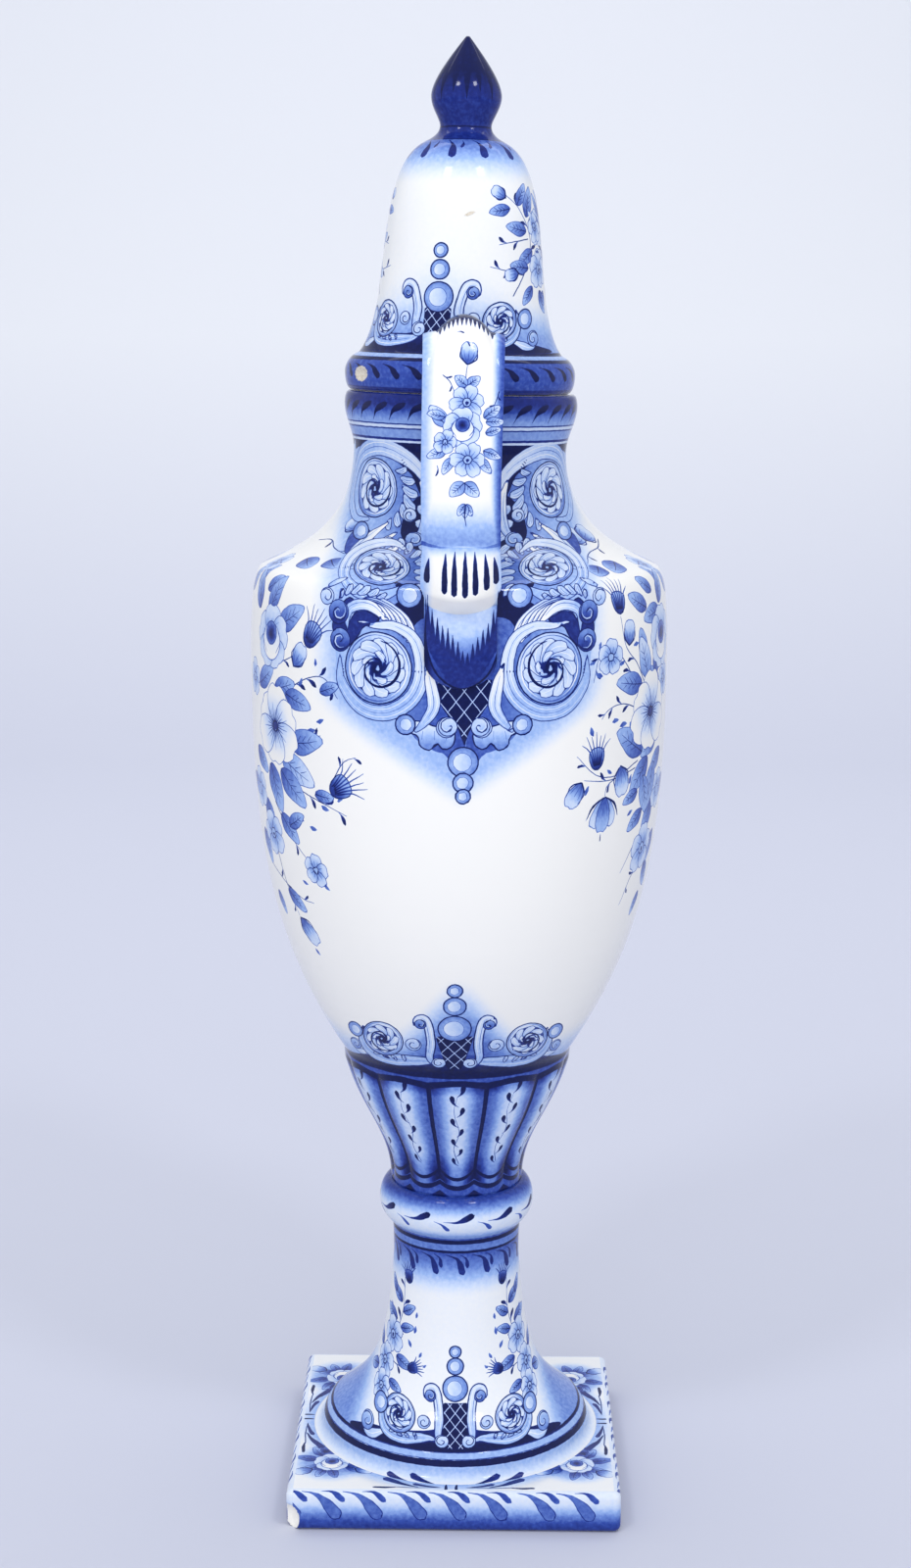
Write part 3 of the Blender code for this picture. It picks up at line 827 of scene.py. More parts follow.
def petal(pen, length, width, base=MID, tip=PALE, veins=2):
    """A rounded petal that points along x."""
    points = [(0, 0), (0.30, 0.42), (0.72, 0.52), (0.98, 0.22), (0.93, 0), (0.98, -0.24), (0.70, -0.50),
              (0.28, -0.38)]
    fill = fade(base, tip, (0, 0), (0.85 * length, 0))
    pen.shape(sized(points, length, width), fill, THIN, (NAVY, DEEP, COBALT, DEEP, NAVY))
    for vein in range(veins):
        side = (vein - (veins - 1) / 2) * 0.28
        line = [(0.15, side * 0.4), (0.38, side), (0.62, side * 1.15)]
        pen.line(sized(line, length, width), (0.20, 0.16, 0.06), COBALT)


def flower(pen, radius, petals=6):
    """An open flower with a ringed heart."""
    for index in range(petals):
        own = pen.at(0, 0, 360.0 * index / petals, reach=radius)
        petal(own, radius * (0.97 + 0.06 * (index % 2)), radius * 4.4 / petals)
    pen.disc(0, 0, radius * 0.24, LIGHT, FINE, NAVY)
    pen.disc(0, -radius * 0.048, radius * 0.108, DEEP, 0.1, NAVY)


def wild_rose(pen, radius, start=15.0):
    """A large white flower whose dark heart sends fine strokes into its petals."""
    for index in range(6):
        own = pen.at(0, 0, start + 60 * index, reach=radius)
        petal(own, radius * (0.94 + 0.10 * (index % 2)), radius * 0.92, LIGHT, BARE, 0)
    for index in range(26):
        ray = [(0.08, 0), (0.44 if index % 2 else 0.60, 0.02)]
        own = pen.at(0, 0, index * 360 / 26, reach=radius)
        own.line(sized(ray, radius), (0.30, 0.24, 0.06), (NAVY, COBALT), smooth=False)
    pen.disc(0, 0, radius * 0.13, DEEP, 0.3, NAVY)
    for index in range(6):
        pen.at(0, 0, index * 60).disc(0.09 * radius, 0, radius * 0.035, LIGHT, 0.08, NAVY)


def rose(pen, radius, start=20.0):
    """A full rose: outer petals, a light bowl and a dark heart."""
    for index in range(5):
        petal(pen.at(0, 0, start + 72 * index, reach=radius), radius, radius * 1.05, MID, PALE, 3)
    bowl = fade(BARE, PALE, (0, -0.6 * radius), (0, 0.3 * radius))
    pen.disc(0, -radius * 0.14, radius * 0.58, bowl, FINE, COBALT)
    heart = bloom(NAVY, MID, (0, 0.1 * radius), radius * 0.42)
    pen.disc(0, radius * 0.12, radius * 0.36, heart, FINE, DEEP)
    for half in halves(pen):
        half.line(sized([(0.40, 0.28), (0.58, -0.10), (0.30, -0.50)], radius), (0.1, FINE, 0.1), DEEP)


def leaf(pen, length, width=None, dark=COBALT, light=LIGHT):
    """A pointed leaf along x with a midrib."""
    width = width or length * 0.52
    points = [(0, 0), (0.28, 0.46), (0.62, 0.40), (1, 0.03), (0.66, -0.42), (0.26, -0.44)]
    fill = fade(dark, light, (0, 0.3 * width), (0.9 * length, -0.3 * width))
    pen.shape(sized(points, length, width), fill, THIN, (NAVY, DEEP, COBALT, DEEP))
    pen.line(sized([(0, 0), (0.45, 0.03), (0.85, 0.01)], length, width), (FINE, 0.16, 0.06), NAVY)
    for share in (0.26, 0.42, 0.58):
        for side in (0.28, -0.28):
            vein = [(share, 0), (share + 0.17, side)]
            pen.line(sized(vein, length, width), (0.14, 0.06), NAVY, smooth=False)


def thistle(pen, length):
    """A thistle along x: a dark cup and a fan of pointed strokes."""
    cup = [(0, 0), (0.14, 0.20), (0.50, 0.26), (0.62, 0), (0.50, -0.26), (0.14, -0.20)]
    pen.shape(sized(cup, length), fade(DEEP, LIGHT, (0, 0), (0.6 * length, 0)), FINE, NAVY)
    for index in range(7):
        side = (index - 3) / 3
        tip = 1.0 - 0.22 * side ** 2 + 0.08 * (index % 2)
        spike = [(0.12, side * 0.10), (0.55, side * 0.26), (tip, side * 0.52)]
        pen.line(sized(spike, length), (FIRM, FIRM, 0.08), (NAVY, COBALT, NAVY))


def closed_bud(pen, length):
    """A closed flower bud along x, with two outer leaves."""
    petal(pen, length, length * 0.66, COBALT, PALE, 3)
    for side in (length, -length):
        pen.line(sized([(0, 0), (0.30, 0.34), (0.72, 0.30)], length, side), (FIRM, FIRM, 0.1), (NAVY, DEEP))


def bell_flower(pen, length):
    """A hanging bell flower along x with curled outer leaves."""
    for turn in (24, -24):
        petal(pen.at(0, 0, turn, reach=length), length * 0.92, length * 0.42, MID, PALE, 2)
    petal(pen, length, length * 0.50, COBALT, LIGHT, 3)
    for side in (length, -length):
        pen.line(sized([(0, 0), (0.22, 0.40), (0.62, 0.62)], length, side), (0.2, BOLD, 0.1), NAVY)
    pen.line([(length, 0), (1.25 * length, 0.02 * length)], (0.2, FIRM), NAVY, smooth=False)


def stem(pen, points, leaves=(), width=0.24):
    """A stem with small comma leaves, each given as (share of the way, side, length)."""
    pen.line(points, (width * 1.3, width, width * 0.5), NAVY)
    path = smooth_path(points)
    for share, side, length in leaves:
        index = min(int(share * (len(path) - 1)), len(path) - 2)
        way = path[index + 1] - path[index]
        turn = math.degrees(math.atan2(way[1], way[0])) + side * 46
        x, y = path[index]
        pen.comma(x, y, length, 0.17 * length, turn, -0.18 * side, (COBALT, NAVY))


def speck(pen, x, y, length, turn):
    """A loose leaf of one brush stroke."""
    own = pen.at(x, y, turn, reach=length)
    width = (0.1, 0.26 * length, 0.2 * length, 0.1)
    own.line(sized([(-0.5, 0), (0, 0.06), (0.5, 0)], length), width, (COBALT, COBALT * 0.8))


def lattice(pen, corners, pitch):
    """A dark panel crossed by fine light lines, which stay inside it."""
    corners = np.asarray(corners, float)
    pen.shape(corners, NAVY, 0.1, NAVY, smooth=False)
    centre = corners.mean(0)
    reach = np.hypot(*(corners - centre).T).max() + pitch
    for slant in (52, -52):
        angle = math.radians(slant)
        way = np.array([math.cos(angle), math.sin(angle)])
        across = np.array([-way[1], way[0]])
        for number in range(-int(reach / pitch), int(reach / pitch) + 1):
            start = centre + across * pitch * number
            hits = []
            for first, second in zip(corners, np.roll(corners, -1, 0)):
                edge = second - first
                cross = way[0] * edge[1] - way[1] * edge[0]
                if abs(cross) < 1e-6:
                    continue
                gap = first - start
                share = (gap[0] * way[1] - gap[1] * way[0]) / cross
                if 0 <= share <= 1:
                    hits.append((gap[0] * edge[1] - gap[1] * edge[0]) / cross)
            if len(hits) >= 2 and max(hits) - min(hits) > 1.5:
                ends = [start + way * min(hits), start + way * max(hits)]
                pen.line(ends, FINE, PALE, smooth=False)


def bracket(pen, curl_at, waist, foot_at):
    """A C-scroll at the right of a lattice: an upper curl, a slim waist and a foot curl."""
    (x, y), (foot_x, foot_y) = curl_at, foot_at
    top = sized([(0.9, -0.5), (0.6, 0.8), (-0.6, 0.7)], BRACKET_CURL) + curl_at
    limb = [(waist, (y + foot_y) / 2 + 2), (waist + 0.8, foot_y + 4), (foot_x + 2.0, foot_y - 3)]
    plume(pen, np.concatenate([top, limb]), (0.8, 2.0, 2.6, 2.5, 2.6, 2.2, 0.8), outline=FIRM)
    curl(pen.at(x + 0.6, y - 0.5, reach=BRACKET_CURL), BRACKET_CURL * 0.78, 90, 1.1, COBALT)
    own = pen.at(foot_x, foot_y, mirror=True, reach=BRACKET_CURL)
    curl(own, BRACKET_CURL * 0.92, 60, 1.2, LIGHT)


def bead_stack(pen, x, beads):
    """Beads one above the other, given as (level, radius)."""
    for level, radius in beads:
        bead(pen, x, level, radius)


def drop(pen, x, y, length, width, turn, tone, bend=0.12):
    """A curved drop with a fine tail and a round head at its far end."""
    own = pen.at(x, y, turn, reach=length)
    points = [(0, 0), (0.5 * length, bend * length), (length, 0)]
    own.line(points, (0.10, 0.16 * width, 0.45 * width, 0.95 * width, width), tone)


def draw(pen, items, grow=1.0):
    """Draw motifs given as (motif, x, y, turn, size and so on), all a little larger if asked."""
    for motif, x, y, turn, *sizes in items:
        motif(pen.at(x, y, turn, grow, reach=3 * sizes[0]), *sizes)


# Painting: the body

def fold_sides(canvas):
    """Millimetres from the nearer of the front and back middles."""
    front = np.abs(wrapped(canvas.across - FRONT)) * canvas.reach
    back = np.abs(wrapped(canvas.across - BACK)) * canvas.reach
    return np.minimum(front, back)


def paint_scroll_foot(pen, beads, low, high, curls, small_at, volute_at, radius, bead_at, end):
    """The scroll ornament that stands on a dark ground: lattice, brackets, volutes and beads."""
    lattice(pen, both_sides([low, high]), 0.42 * radius)
    for half in halves(pen):
        end_at, size, turn = end
        tail = sized([(-0.6, -1.2), (0.9, -0.3)], size) + end_at
        start = sized([(0.5, -0.9)], radius) + volute_at
        plume(half, np.concatenate([start, tail]), (0.4, 0.55 * size, 0.3), 1)
        curl(half.at(*end_at, reach=10), size, turn, 1.2, MID)
        near = [(low[0] + 1.5, low[1] + 3.5), (low[0] + 0.55 * radius, volute_at[1] - 0.95 * radius)]
        sweep = [(-0.2, -1.12), (0.75, -0.85), (1.08, -0.1), (0.85, 0.6)]
        width = (0.6, 0.26 * radius, 0.36 * radius, 0.34 * radius, 0.22 * radius, 0.3)
        plume(half, np.concatenate([near, sized(sweep, radius) + volute_at]), width, 3, LIGHT, outline=FIRM)
        for index in range(4):
            x, y = sized((0.42 * index - 0.95, -0.93 - 0.10 * math.sin(index)), radius) + volute_at
            lobe(half.at(x, y, 60 - 26 * index, reach=radius), radius * 0.42)
        volute(half.at(*volute_at, reach=2 * radius), radius * 0.95, 200, 1.2, 8)
        curl(half.at(*small_at, reach=10), 0.34 * radius, 120, 1.2, LIGHT)
        bead(half, *bead_at)
        bracket(half, *curls)
    bead_stack(pen, 0, beads)


def paint_lower_belly(canvas, centre):
    """The scroll ornament that rises from the cup on to the belly."""
    pen = Pen(canvas, centre, 262, 360, 110).at(-2, 0)
    ground = [(90, 270), (70, 276), (50, 281), (20, 286), (0, 290)]
    pen.shape(both_sides(ground), fade(NAVY, COBALT, (0, 274), (0, 290)), 0.1, DEEP)
    paint_scroll_foot(pen, [(310, 9.5), (326.5, 6.5), (337.5, 4.5)], (4, 277), (11, 304),
                      ((19, 313), 13.5, (9, 282)), (24, 296), (44, 297), 14.5, (64, 300, 6.0),
                      ((66, 287), 5.0, 20))


# The ornament over the shoulder: its outline, its dark parts and its three great scrolls.
# A scroll's ribbon is given by its points, its half widths and its strands.
MANTLE_EDGE = [
    (-1, 668), (80, 668), (82, 650), (78, 632), (70, 618), (72, 600), (76, 584), (71, 568), (77, 552),
    (74, 532), (70, 514), (56, 501), (36, 499), (26, 486), (12, 479), (-1, 484),
]
MANTLE_TOP = [(-1, 668), (84, 668), (84, 661), (62, 666), (44, 660), (30, 650), (22, 634), (-1, 634)]
# points, fill, half width of the edge
MANTLE_GAPS = [
    ([(-1, 556), (22, 552), (30, 546), (40, 556), (34, 562), (38, 572), (22, 566), (-1, 576)], NAVY, 0.2),
    ([(46, 550), (58, 556), (66, 561), (76, 546), (70, 533), (60, 540), (56, 546)], DEEP, 0.3),
    ([(14, 640), (30, 634), (36, 616), (28, 604), (14, 604)], NAVY, 0.2),
    ([(52, 606), (62, 604), (70, 596), (74, 600), (72, 612), (60, 618)], COBALT, 0.2),
]
UPPER_SCROLL = (
    [(20, 632), (22, 648), (34, 659), (54, 664), (74, 657), (82, 640), (72, 624), (58, 623)],
    (0.6, 3.2, 4.6, 5.0, 4.8, 4.0, 2.8, 1.0), 3,
)
MIDDLE_SCROLL = (
    [(30, 600), (40, 608), (56, 605), (68, 594), (70, 577), (62, 566), (46, 563), (30, 570)],
    (0.6, 3.0, 3.8, 4.0, 3.8, 3.6, 3.0, 0.6), 3,
)
LOWER_SCROLL = (
    [(60, 549), (50, 547), (38, 547), (27, 540), (23, 524), (28, 509), (42, 500), (58, 502), (70, 515),
     (71, 530)],
    (0.5, 2.2, 3.0, 3.6, 4.2, 4.4, 4.2, 3.8, 3.0, 0.6), 3,
)


def paint_mantle(canvas, centre):
    """The ornament of scrolls that hangs from the neck over the shoulder to the belly."""
    pen = Pen(canvas, centre, 435, 675, 130).at(2.2, 0)
    for half in halves(pen):
        # The fill darkens toward the middle, partly painted shadow of the strap beside it
        half.shape(MANTLE_EDGE, fade(COBALT, LIGHT, (6, 560), (66, 560)), 0.1, LIGHT)
        half.shape(MANTLE_TOP, NAVY, 0.1, NAVY, smooth=False)
        for points, fill, width in MANTLE_GAPS:
            half.shape(points, fill, width, NAVY)
        fronds(half, [(18, 640), (22, 626), (20, 612), (24, 598)], 13, 120, 5)
        fronds(half, [(20, 600), (22, 588), (22, 574), (26, 562)], 12, 110, 5)
        plume(half, *UPPER_SCROLL)
        fronds(half, [(46, 619), (37, 625), (31, 636), (33, 648), (40, 655)], 10.5, 120)
        volute(half.at(56, 641, reach=24), 16.5, 130)
        dashes(half, 35, 656, 50, 5)
        plume(half, [(25, 648), (21, 634), (23, 618), (31, 608)], (0.6, 3.0, 2.8, 1.2), 2, BARE)
        curl(half.at(28, 611, reach=10), 5.4, 60, 1.2, MID)
        curl(half.at(31, 627, reach=10), 4.2, 200, 1.2, LIGHT)
        for shift in (0, 6, 12):
            ribbon = [(44 - shift, 622 - shift), (56 - shift, 612 - shift)]
            ribbon += [(66 - 0.6 * shift, 600 - shift), (74 - 0.4 * shift, 582)]
            plume(half, ribbon, (0.5, 2.8, 3.2, 0.8), 2, BARE)
        bead(half, 64, 615, 6.3)
        fronds(half, [(24, 592), (29, 602), (40, 608), (52, 606)], 9.5, 60)
        plume(half, *MIDDLE_SCROLL)
        volute(half.at(47, 586, reach=26), 17.0, 100)
        dashes(half, 69, 584, -15, 4)
        curl(half.at(80, 561, reach=10), 4.8, 30, 1.2, LIGHT)
        plume(half, [(66, 574), (73, 570), (80, 566)], (0.5, 1.8, 0.6), 0)
        for index in range(6):
            lift = 2.9 * index
            ribbon = [(24 + index * 3, 532 + lift), (32 + index * 4, 550 + lift * 0.5)]
            ribbon += [(50 + index * 3, 560 - 1.0 * index), (67, 554 - 2.4 * index)]
            plume(half, ribbon, (0.5, 2.8, 3.0, 0.5), 2, BARE)
        bead(half, 30, 564, 7.0)
        fronds(half, [(72, 562), (64, 566), (52, 565), (42, 562)], 8.5, -50)
        curl(half.at(72, 553, reach=12), 6.6, 120, 1.3, DEEP)
        curl(half.at(71, 538, reach=12), 6.4, 200, 1.3, DEEP)
        plume(half, *LOWER_SCROLL)
        volute(half.at(48, 524, reach=30), 19.5, 80, 1.3, 11)
        dashes(half, 24.5, 523, 5, 5)
        dashes(half, 69, 521, 80, 4)
        leaf_foot(half, 15, 486.5, 9.5)
        ribbon = [(21, 528), (18, 516), (16.5, 504), (22, 495), (27, 490)]
        plume(half, ribbon, (0.5, 3.0, 3.6, 2.8, 0.8), 3, BARE)
        curl(half.at(9.5, 493, mirror=True, reach=10), 5.6, 70, 1.3, LIGHT)
        bead(half, 32, 494, 5.6)
    lattice(pen, both_sides([(15, 519), (12.5, 505), (8, 498.5), (3, 492), (0, 483)]), 7.0)
    for half in halves(pen):
        curl(half.at(8.8, 493.5, mirror=True, reach=10), 5.2, 70, 1.3, LIGHT)
    bead_stack(pen, -0.5, [(474, 8.3), (462.5, 5.6), (455, 4.2)])


# The bouquets. A spray holds (motif, x, y, turn in degrees, size and so on), a stem its points
# and its leaves as (share of the way, side, length), and a speck is (x, y, length, turn).
RIGHT_SPRAY = [
    (thistle, -90, 550, 88, 17), (closed_bud, -83, 532, 84, 12), (flower, -99, 527, 10, 8.5, 5),
    (leaf, -62, 551, 155, 17), (leaf, -44, 552, 60, 18), (leaf, -44, 549, 190, 19),
    (leaf, -69, 509, 172, 21), (leaf, -61, 511, 112, 22, None, MID, PALE), (leaf, -52, 512, 70, 20),
    (leaf, -66, 470, 150, 25), (leaf, -58, 466, 225, 22), (leaf, -48, 462, 255, 24, None, MID, LIGHT),
    (rose, -40, 533, 0, 15), (wild_rose, -57, 492, 12, 19), (thistle, -107, 465, 95, 17),
    (closed_bud, -117, 459, 238, 13), (bell_flower, -99, 449, -90, 17), (closed_bud, -88, 465, -76, 15),
    (leaf, -63, 456, -70, 20, None, MID, LIGHT), (leaf, -68, 448, 200, 13), (leaf, -60, 436, 215, 15),
    (flower, -52, 412, 20, 12, 5), (leaf, -42, 402, -60, 16), (closed_bud, -60, 606, 28, 15),
    (closed_bud, -47, 607, 25, 15), (leaf, -76, 584, 212, 16), (leaf, -55, 586, 208, 19),
]
RIGHT_STEMS = [
    ([(-60, 500), (-74, 520), (-86, 532), (-90, 550)], ((0.5, 1, 7), (0.75, -1, 6))),
    ([(-70, 500), (-84, 520), (-99, 534), (-108, 528), (-112, 514)],
     ((0.3, 1, 7), (0.8, -1, 6), (0.9, 1, 6))),
    ([(-74, 496), (-88, 500), (-100, 498), (-106, 492)],
     ((0.25, 1, 7), (0.45, -1, 7), (0.65, 1, 7), (0.85, -1, 6))),
    ([(-70, 466), (-90, 460), (-107, 462), (-122, 474)], ((0.3, 1, 8), (0.85, 1, 6))),
    ([(-72, 462), (-96, 458), (-117, 460)], ((0.6, -1, 7),)),
    ([(-88, 460), (-98, 455), (-99, 449)], ((0.5, 1, 6),)),
    ([(-56, 424), (-66, 414), (-74, 401)], ((0.4, 1, 6),)),
    ([(-50, 402), (-60, 396), (-66, 380)], ((0.3, -1, 6), (0.6, 1, 5))),
    ([(-30, 606), (-44, 600), (-62, 596), (-80, 586)], ((0.3, 1, 7), (0.7, 1, 6))),
]
RIGHT_SPECKS = [
    (-107, 534, 5, 70), (-113, 525, 5, 200), (-108, 518, 6, 160), (-90, 523, 6, 200), (-76, 532, 6, 10),
    (-94, 491, 6, 10), (-87, 488, 7, 10), (-112, 487, 6, 110), (-97, 463, 5, 150), (-113, 454, 6, 70),
    (-77, 446, 6, 60), (-74, 436, 6, 30), (-77, 456, 6, 80),
]
LEFT_SPRAY = [
    (leaf, -58, 548, 118, 20), (leaf, -70, 540, 150, 22), (closed_bud, -86, 520, 125, 13),
    (thistle, -97, 532, 118, 20), (leaf, -66, 505, 165, 18), (leaf, -78, 504, 195, 19),
    (leaf, -72, 500, 235, 16), (rose, -62, 534, 0, 15), (leaf, -44, 548, 70, 20), (leaf, -80, 476, 170, 24),
    (leaf, -72, 468, 205, 26, None, MID, PALE), (leaf, -70, 460, 220, 24), (leaf, -58, 462, 250, 24),
    (wild_rose, -66, 484, 20, 19), (thistle, -112, 452, 150, 20), (leaf, -100, 450, 185, 12),
    (leaf, -66, 434, 225, 18), (leaf, -74, 428, 150, 14), (flower, -92, 405, 30, 8, 5),
    (flower, -52, 420, 0, 11, 5), (leaf, -58, 388, 215, 16), (closed_bud, -64, 372, 235, 15),
    (leaf, -107, 508, 160, 12), (closed_bud, -56, 616, 24, 14), (leaf, -72, 590, 205, 16),
    (leaf, -52, 588, 205, 18),
]
LEFT_STEMS = [
    ([(-62, 520), (-76, 522), (-88, 527), (-97, 533)], ((0.4, 1, 6), (0.7, -1, 6))),
    ([(-80, 506), (-96, 514), (-110, 516), (-120, 505)],
     ((0.2, 1, 8), (0.4, 1, 9), (0.6, -1, 8), (0.85, 1, 7))),
    ([(-76, 474), (-96, 480), (-108, 484)], ((0.5, 1, 7), (0.8, -1, 7))),
    ([(-84, 452), (-104, 446), (-122, 440)], ((0.3, 1, 8), (0.6, -1, 8), (0.85, 1, 8))),
    ([(-112, 456), (-122, 470), (-131, 474)], ((0.5, -1, 6), (0.9, 1, 6))),
    ([(-60, 440), (-76, 420), (-92, 406)], ((0.3, -1, 7), (0.6, 1, 7))),
    ([(-54, 412), (-58, 392), (-64, 372)], ((0.3, 1, 7), (0.5, -1, 7), (0.8, 1, 6))),
    ([(-40, 400), (-70, 386), (-84, 384)], ((0.5, 1, 6), (0.8, -1, 6))),
    ([(-30, 604), (-44, 606), (-58, 600), (-82, 594)], ((0.3, 1, 7), (0.7, -1, 7))),
]
LEFT_SPECKS = [
    (-107, 443, 6, 200), (-118, 449, 5, 150), (-100, 486, 7, 170), (-107, 492, 6, 160), (-92, 512, 6, 120),
    (-104, 524, 5, 90), (-86, 434, 6, 200), (-98, 396, 5, 220), (-80, 396, 5, 200), (-70, 352, 5, 240),
    (-96, 430, 6, 190),
]
SPRAY_SIZE = 1.22
UNDERGROWTH_SIZE = 1.1
# Leaves and small flowers that both bouquets cover in part
UNDERGROWTH = [
    (leaf, -46, 478, 205, 22), (leaf, -44, 505, 150, 22), (leaf, -66, 522, 105, 18),
    (leaf, -46, 440, 245, 22), (leaf, -36, 468, 215, 20), (leaf, -66, 476, 140, 18, None, DEEP, LIGHT),
    (leaf, -34, 560, 120, 18), (leaf, -52, 560, 150, 16), (leaf, -34, 420, 250, 20),
    (leaf, -40, 384, 250, 14), (flower, -36, 444, 0, 11, 5), (flower, -34, 508, 20, 10, 5),
    (flower, -30, 578, 0, 10, 5),
]


def paint_bouquet(canvas, centre, mirror, spray, stems, specks):
    """The bouquet on one side of the belly, drawn toward the front and repeated toward the back."""
    side = Pen(canvas, centre, 340, 640, 150)
    for flip in (not mirror, mirror):
        pen = side.at(0, 0, mirror=flip)
        for points, leaves in stems:
            stem(pen, points, leaves)
        for x, y, length, turn in specks:
            speck(pen, x, y, length, turn)
        draw(pen, UNDERGROWTH, UNDERGROWTH_SIZE)
        draw(pen, spray, SPRAY_SIZE)
    for motif, y, turn, size in ((leaf, 570, 90, 22), (leaf, 466, 262, 26), (leaf, 512, 80, 22),
                                 (leaf, 400, 265, 20)):
        motif(side.at(0, y, turn), size)
    wild_rose(side.at(0, 490), 21, 0)
    rose(side.at(-2, 540), 16, 30)
    flower(side.at(0, 436), 14, 6)
    draw(side, [(leaf, -16, 556, 130, 20), (leaf, 16, 556, 50, 20), (leaf, -20, 450, 210, 20),
                (leaf, 20, 450, -30, 20)])


def paint_cup(canvas):
    """The gadroons: blue edges, dark seams, a vine on each and scalloped bands."""
    def hang(amount):
        return lambda angle: amount * off_crest(angle) ** 2

    canvas.band(268, 272.4, COBALT, wave=hang(-2))
    canvas.ring(266.2, 1.9, NAVY, wave=hang(-3))
    canvas.ring(271.9, 0.8, NAVY)
    for pen in around(canvas, LOBES, 196, 268, 22):
        stem(pen, [(1, 204), (-2, 216), (1, 230), (-2, 246), (0, 258)], width=0.12)
        for index, level in enumerate((202, 209, 217, 225, 233, 241, 249, 256)):
            side = 1 if index % 2 else -1
            grow = 0.75 + 0.35 * (level - 200) / 60
            turn = 90 - side * 32
            drop(pen, -side * 0.8, level + 1, 7.5 * grow, 1.45 * grow, turn, (DEEP, NAVY), -0.15 * side)
    for seam in around(canvas, LOBES, 190, 272, 8, math.pi / LOBES):
        seam.line([(0, 196), (0, 230), (0, 264)], (1.0, 1.25, 1.5), NAVY)
    canvas.band(182, 189, COBALT, wave=hang(4))
    canvas.ring(193.2, 1.2, NAVY, wave=hang(6.5))
    canvas.ring(187.4, 1.5, NAVY, wave=hang(3.5))


def paint_vessel(canvas):
    """The cup, the belly, the shoulder, the neck and the collar."""
    v, x = canvas.along, fold_sides(canvas)
    crest = off_crest(canvas.across)
    cup = 0.15 + 0.48 * ease((crest - 0.12) / 0.75) + 0.36 * ease((216 - v) / 24)
    # Darker toward the cup's top where the belly starts: dark blue that is partly painted shade under the
    # belly
    cup += 0.34 * ease((v - 256) / 9)
    rise = 300 + 34 * np.exp(-(x / 24) ** 2) + 6 * np.cos(x / 22)
    lower = 0.62 * ease((rise + 8 - v) / 48)
    hanging = v - 446 - 0.62 * x
    halo = 0.30 * ease(hanging / 20) * ease((92 - x) / 26) * ease((640 - v) / 60 + 0.4)
    shoulder = 0.16 * ease((v - 600) / 30) * ease((110 - x) / 30)
    neck = 0.10 * ease((v - 630) / 20)
    collar = 0.36 + 0.50 * ease((v - 678) / 13)
    canvas.ground[:] = np.where(v < 272, cup, np.where(v > 677.5, collar, lower + halo + shoulder + neck))
    paint_cup(canvas)
    for centre in (FRONT, BACK):
        paint_lower_belly(canvas, centre)
    paint_bouquet(canvas, 0.0, False, RIGHT_SPRAY, RIGHT_STEMS, RIGHT_SPECKS)
    paint_bouquet(canvas, math.pi, True, LEFT_SPRAY, LEFT_STEMS, LEFT_SPECKS)
    canvas.band(663.5, 667, NAVY)
    for centre in (FRONT, BACK):
        paint_mantle(canvas, centre)
    canvas.ring(668, 1.0, PALE)
    canvas.band(669, 675.5, 0.40, 0.7, DEEP)
    canvas.ring(676.6, 1.0, PALE)
    canvas.ring(677.8, 0.4, DEEP)
    for pen in around(canvas, 34, 676, 697, 14):
        pen.comma(-7, 679, 15.5, 1.9, 38, 0.22, NAVY)


def paint_foot(canvas):
    """The bell, its ring, the stem and the torus."""
    v, x = canvas.along, fold_sides(canvas)
    torus = 0.10 + 0.66 * ease((v - 166) / 14) + 0.26 * between(v, 146, 156, 7)
    fall = 0.62 * ease((v - 112) / 30)
    side = 0.42 * ease((x - 55) / 30) * ease((78 - v) / 36)
    edge = 0.30 * ease((v + 3) / 14)
    canvas.ground[:] = np.where(v > 150, torus, np.where(v < 12, edge, fall + side + 0.04))
    canvas.band(11.6, 14.9, NAVY, 0.3, NAVY)
    canvas.band(15.5, 19.4, 0.32, 0.2, DEEP)
    canvas.ring(20.4, 0.8, NAVY)
    canvas.band(141, 146, 0.52)
    canvas.ring(147.4, 1.3, NAVY)
    canvas.ring(141.2, 0.8, NAVY)
    for pen in around(canvas, 11, 155, 180, 22):
        drop(pen, -8, 165.5, 17, 1.9, 12, (COBALT, NAVY), -0.10)
        drop(pen, -14, 165.5, 10, 1.2, -32, (COBALT, COBALT), 0.10)
    for pen in around(canvas, 15, 120, 142, 14):
        drop(pen, -7, 139.5, 15, 2.0, -46, (NAVY, DEEP), 0.22)
        drop(pen, 2, 139.5, 8.5, 1.2, -58, (NAVY, DEEP), 0.22)
    for centre in (FRONT, BACK):
        pen = Pen(canvas, centre, 0, 142, 110).at(-0.5, 0)
        ground = [(68, 20.5), (60, 27), (44, 29), (20, 32), (0, 36)]
        pen.shape(both_sides(ground), fade(NAVY, DEEP, (0, 22), (0, 36)), 0.1, DEEP)
        for half in halves(pen):
            paint_foot_sprig(half)
            half.line([(10, -1), (18, 1.5), (25, 4.2)], (0.2, 1.2, 2.1), (NAVY, DEEP))
            half.line([(26, -1), (33, 0.4), (40, 2.4)], (0.2, 1.2, 2.2), (NAVY, DEEP))
        paint_scroll_foot(pen, [(58.5, 7.5), (71.5, 5), (80, 3.6)], (9, 22), (7, 50),
                          ((14.5, 54), 9.5, (8, 26.5)), (19, 37.5), (36, 39.5), 12.0, (51, 42, 6.0),
                          ((60, 29), 5.6, 30))


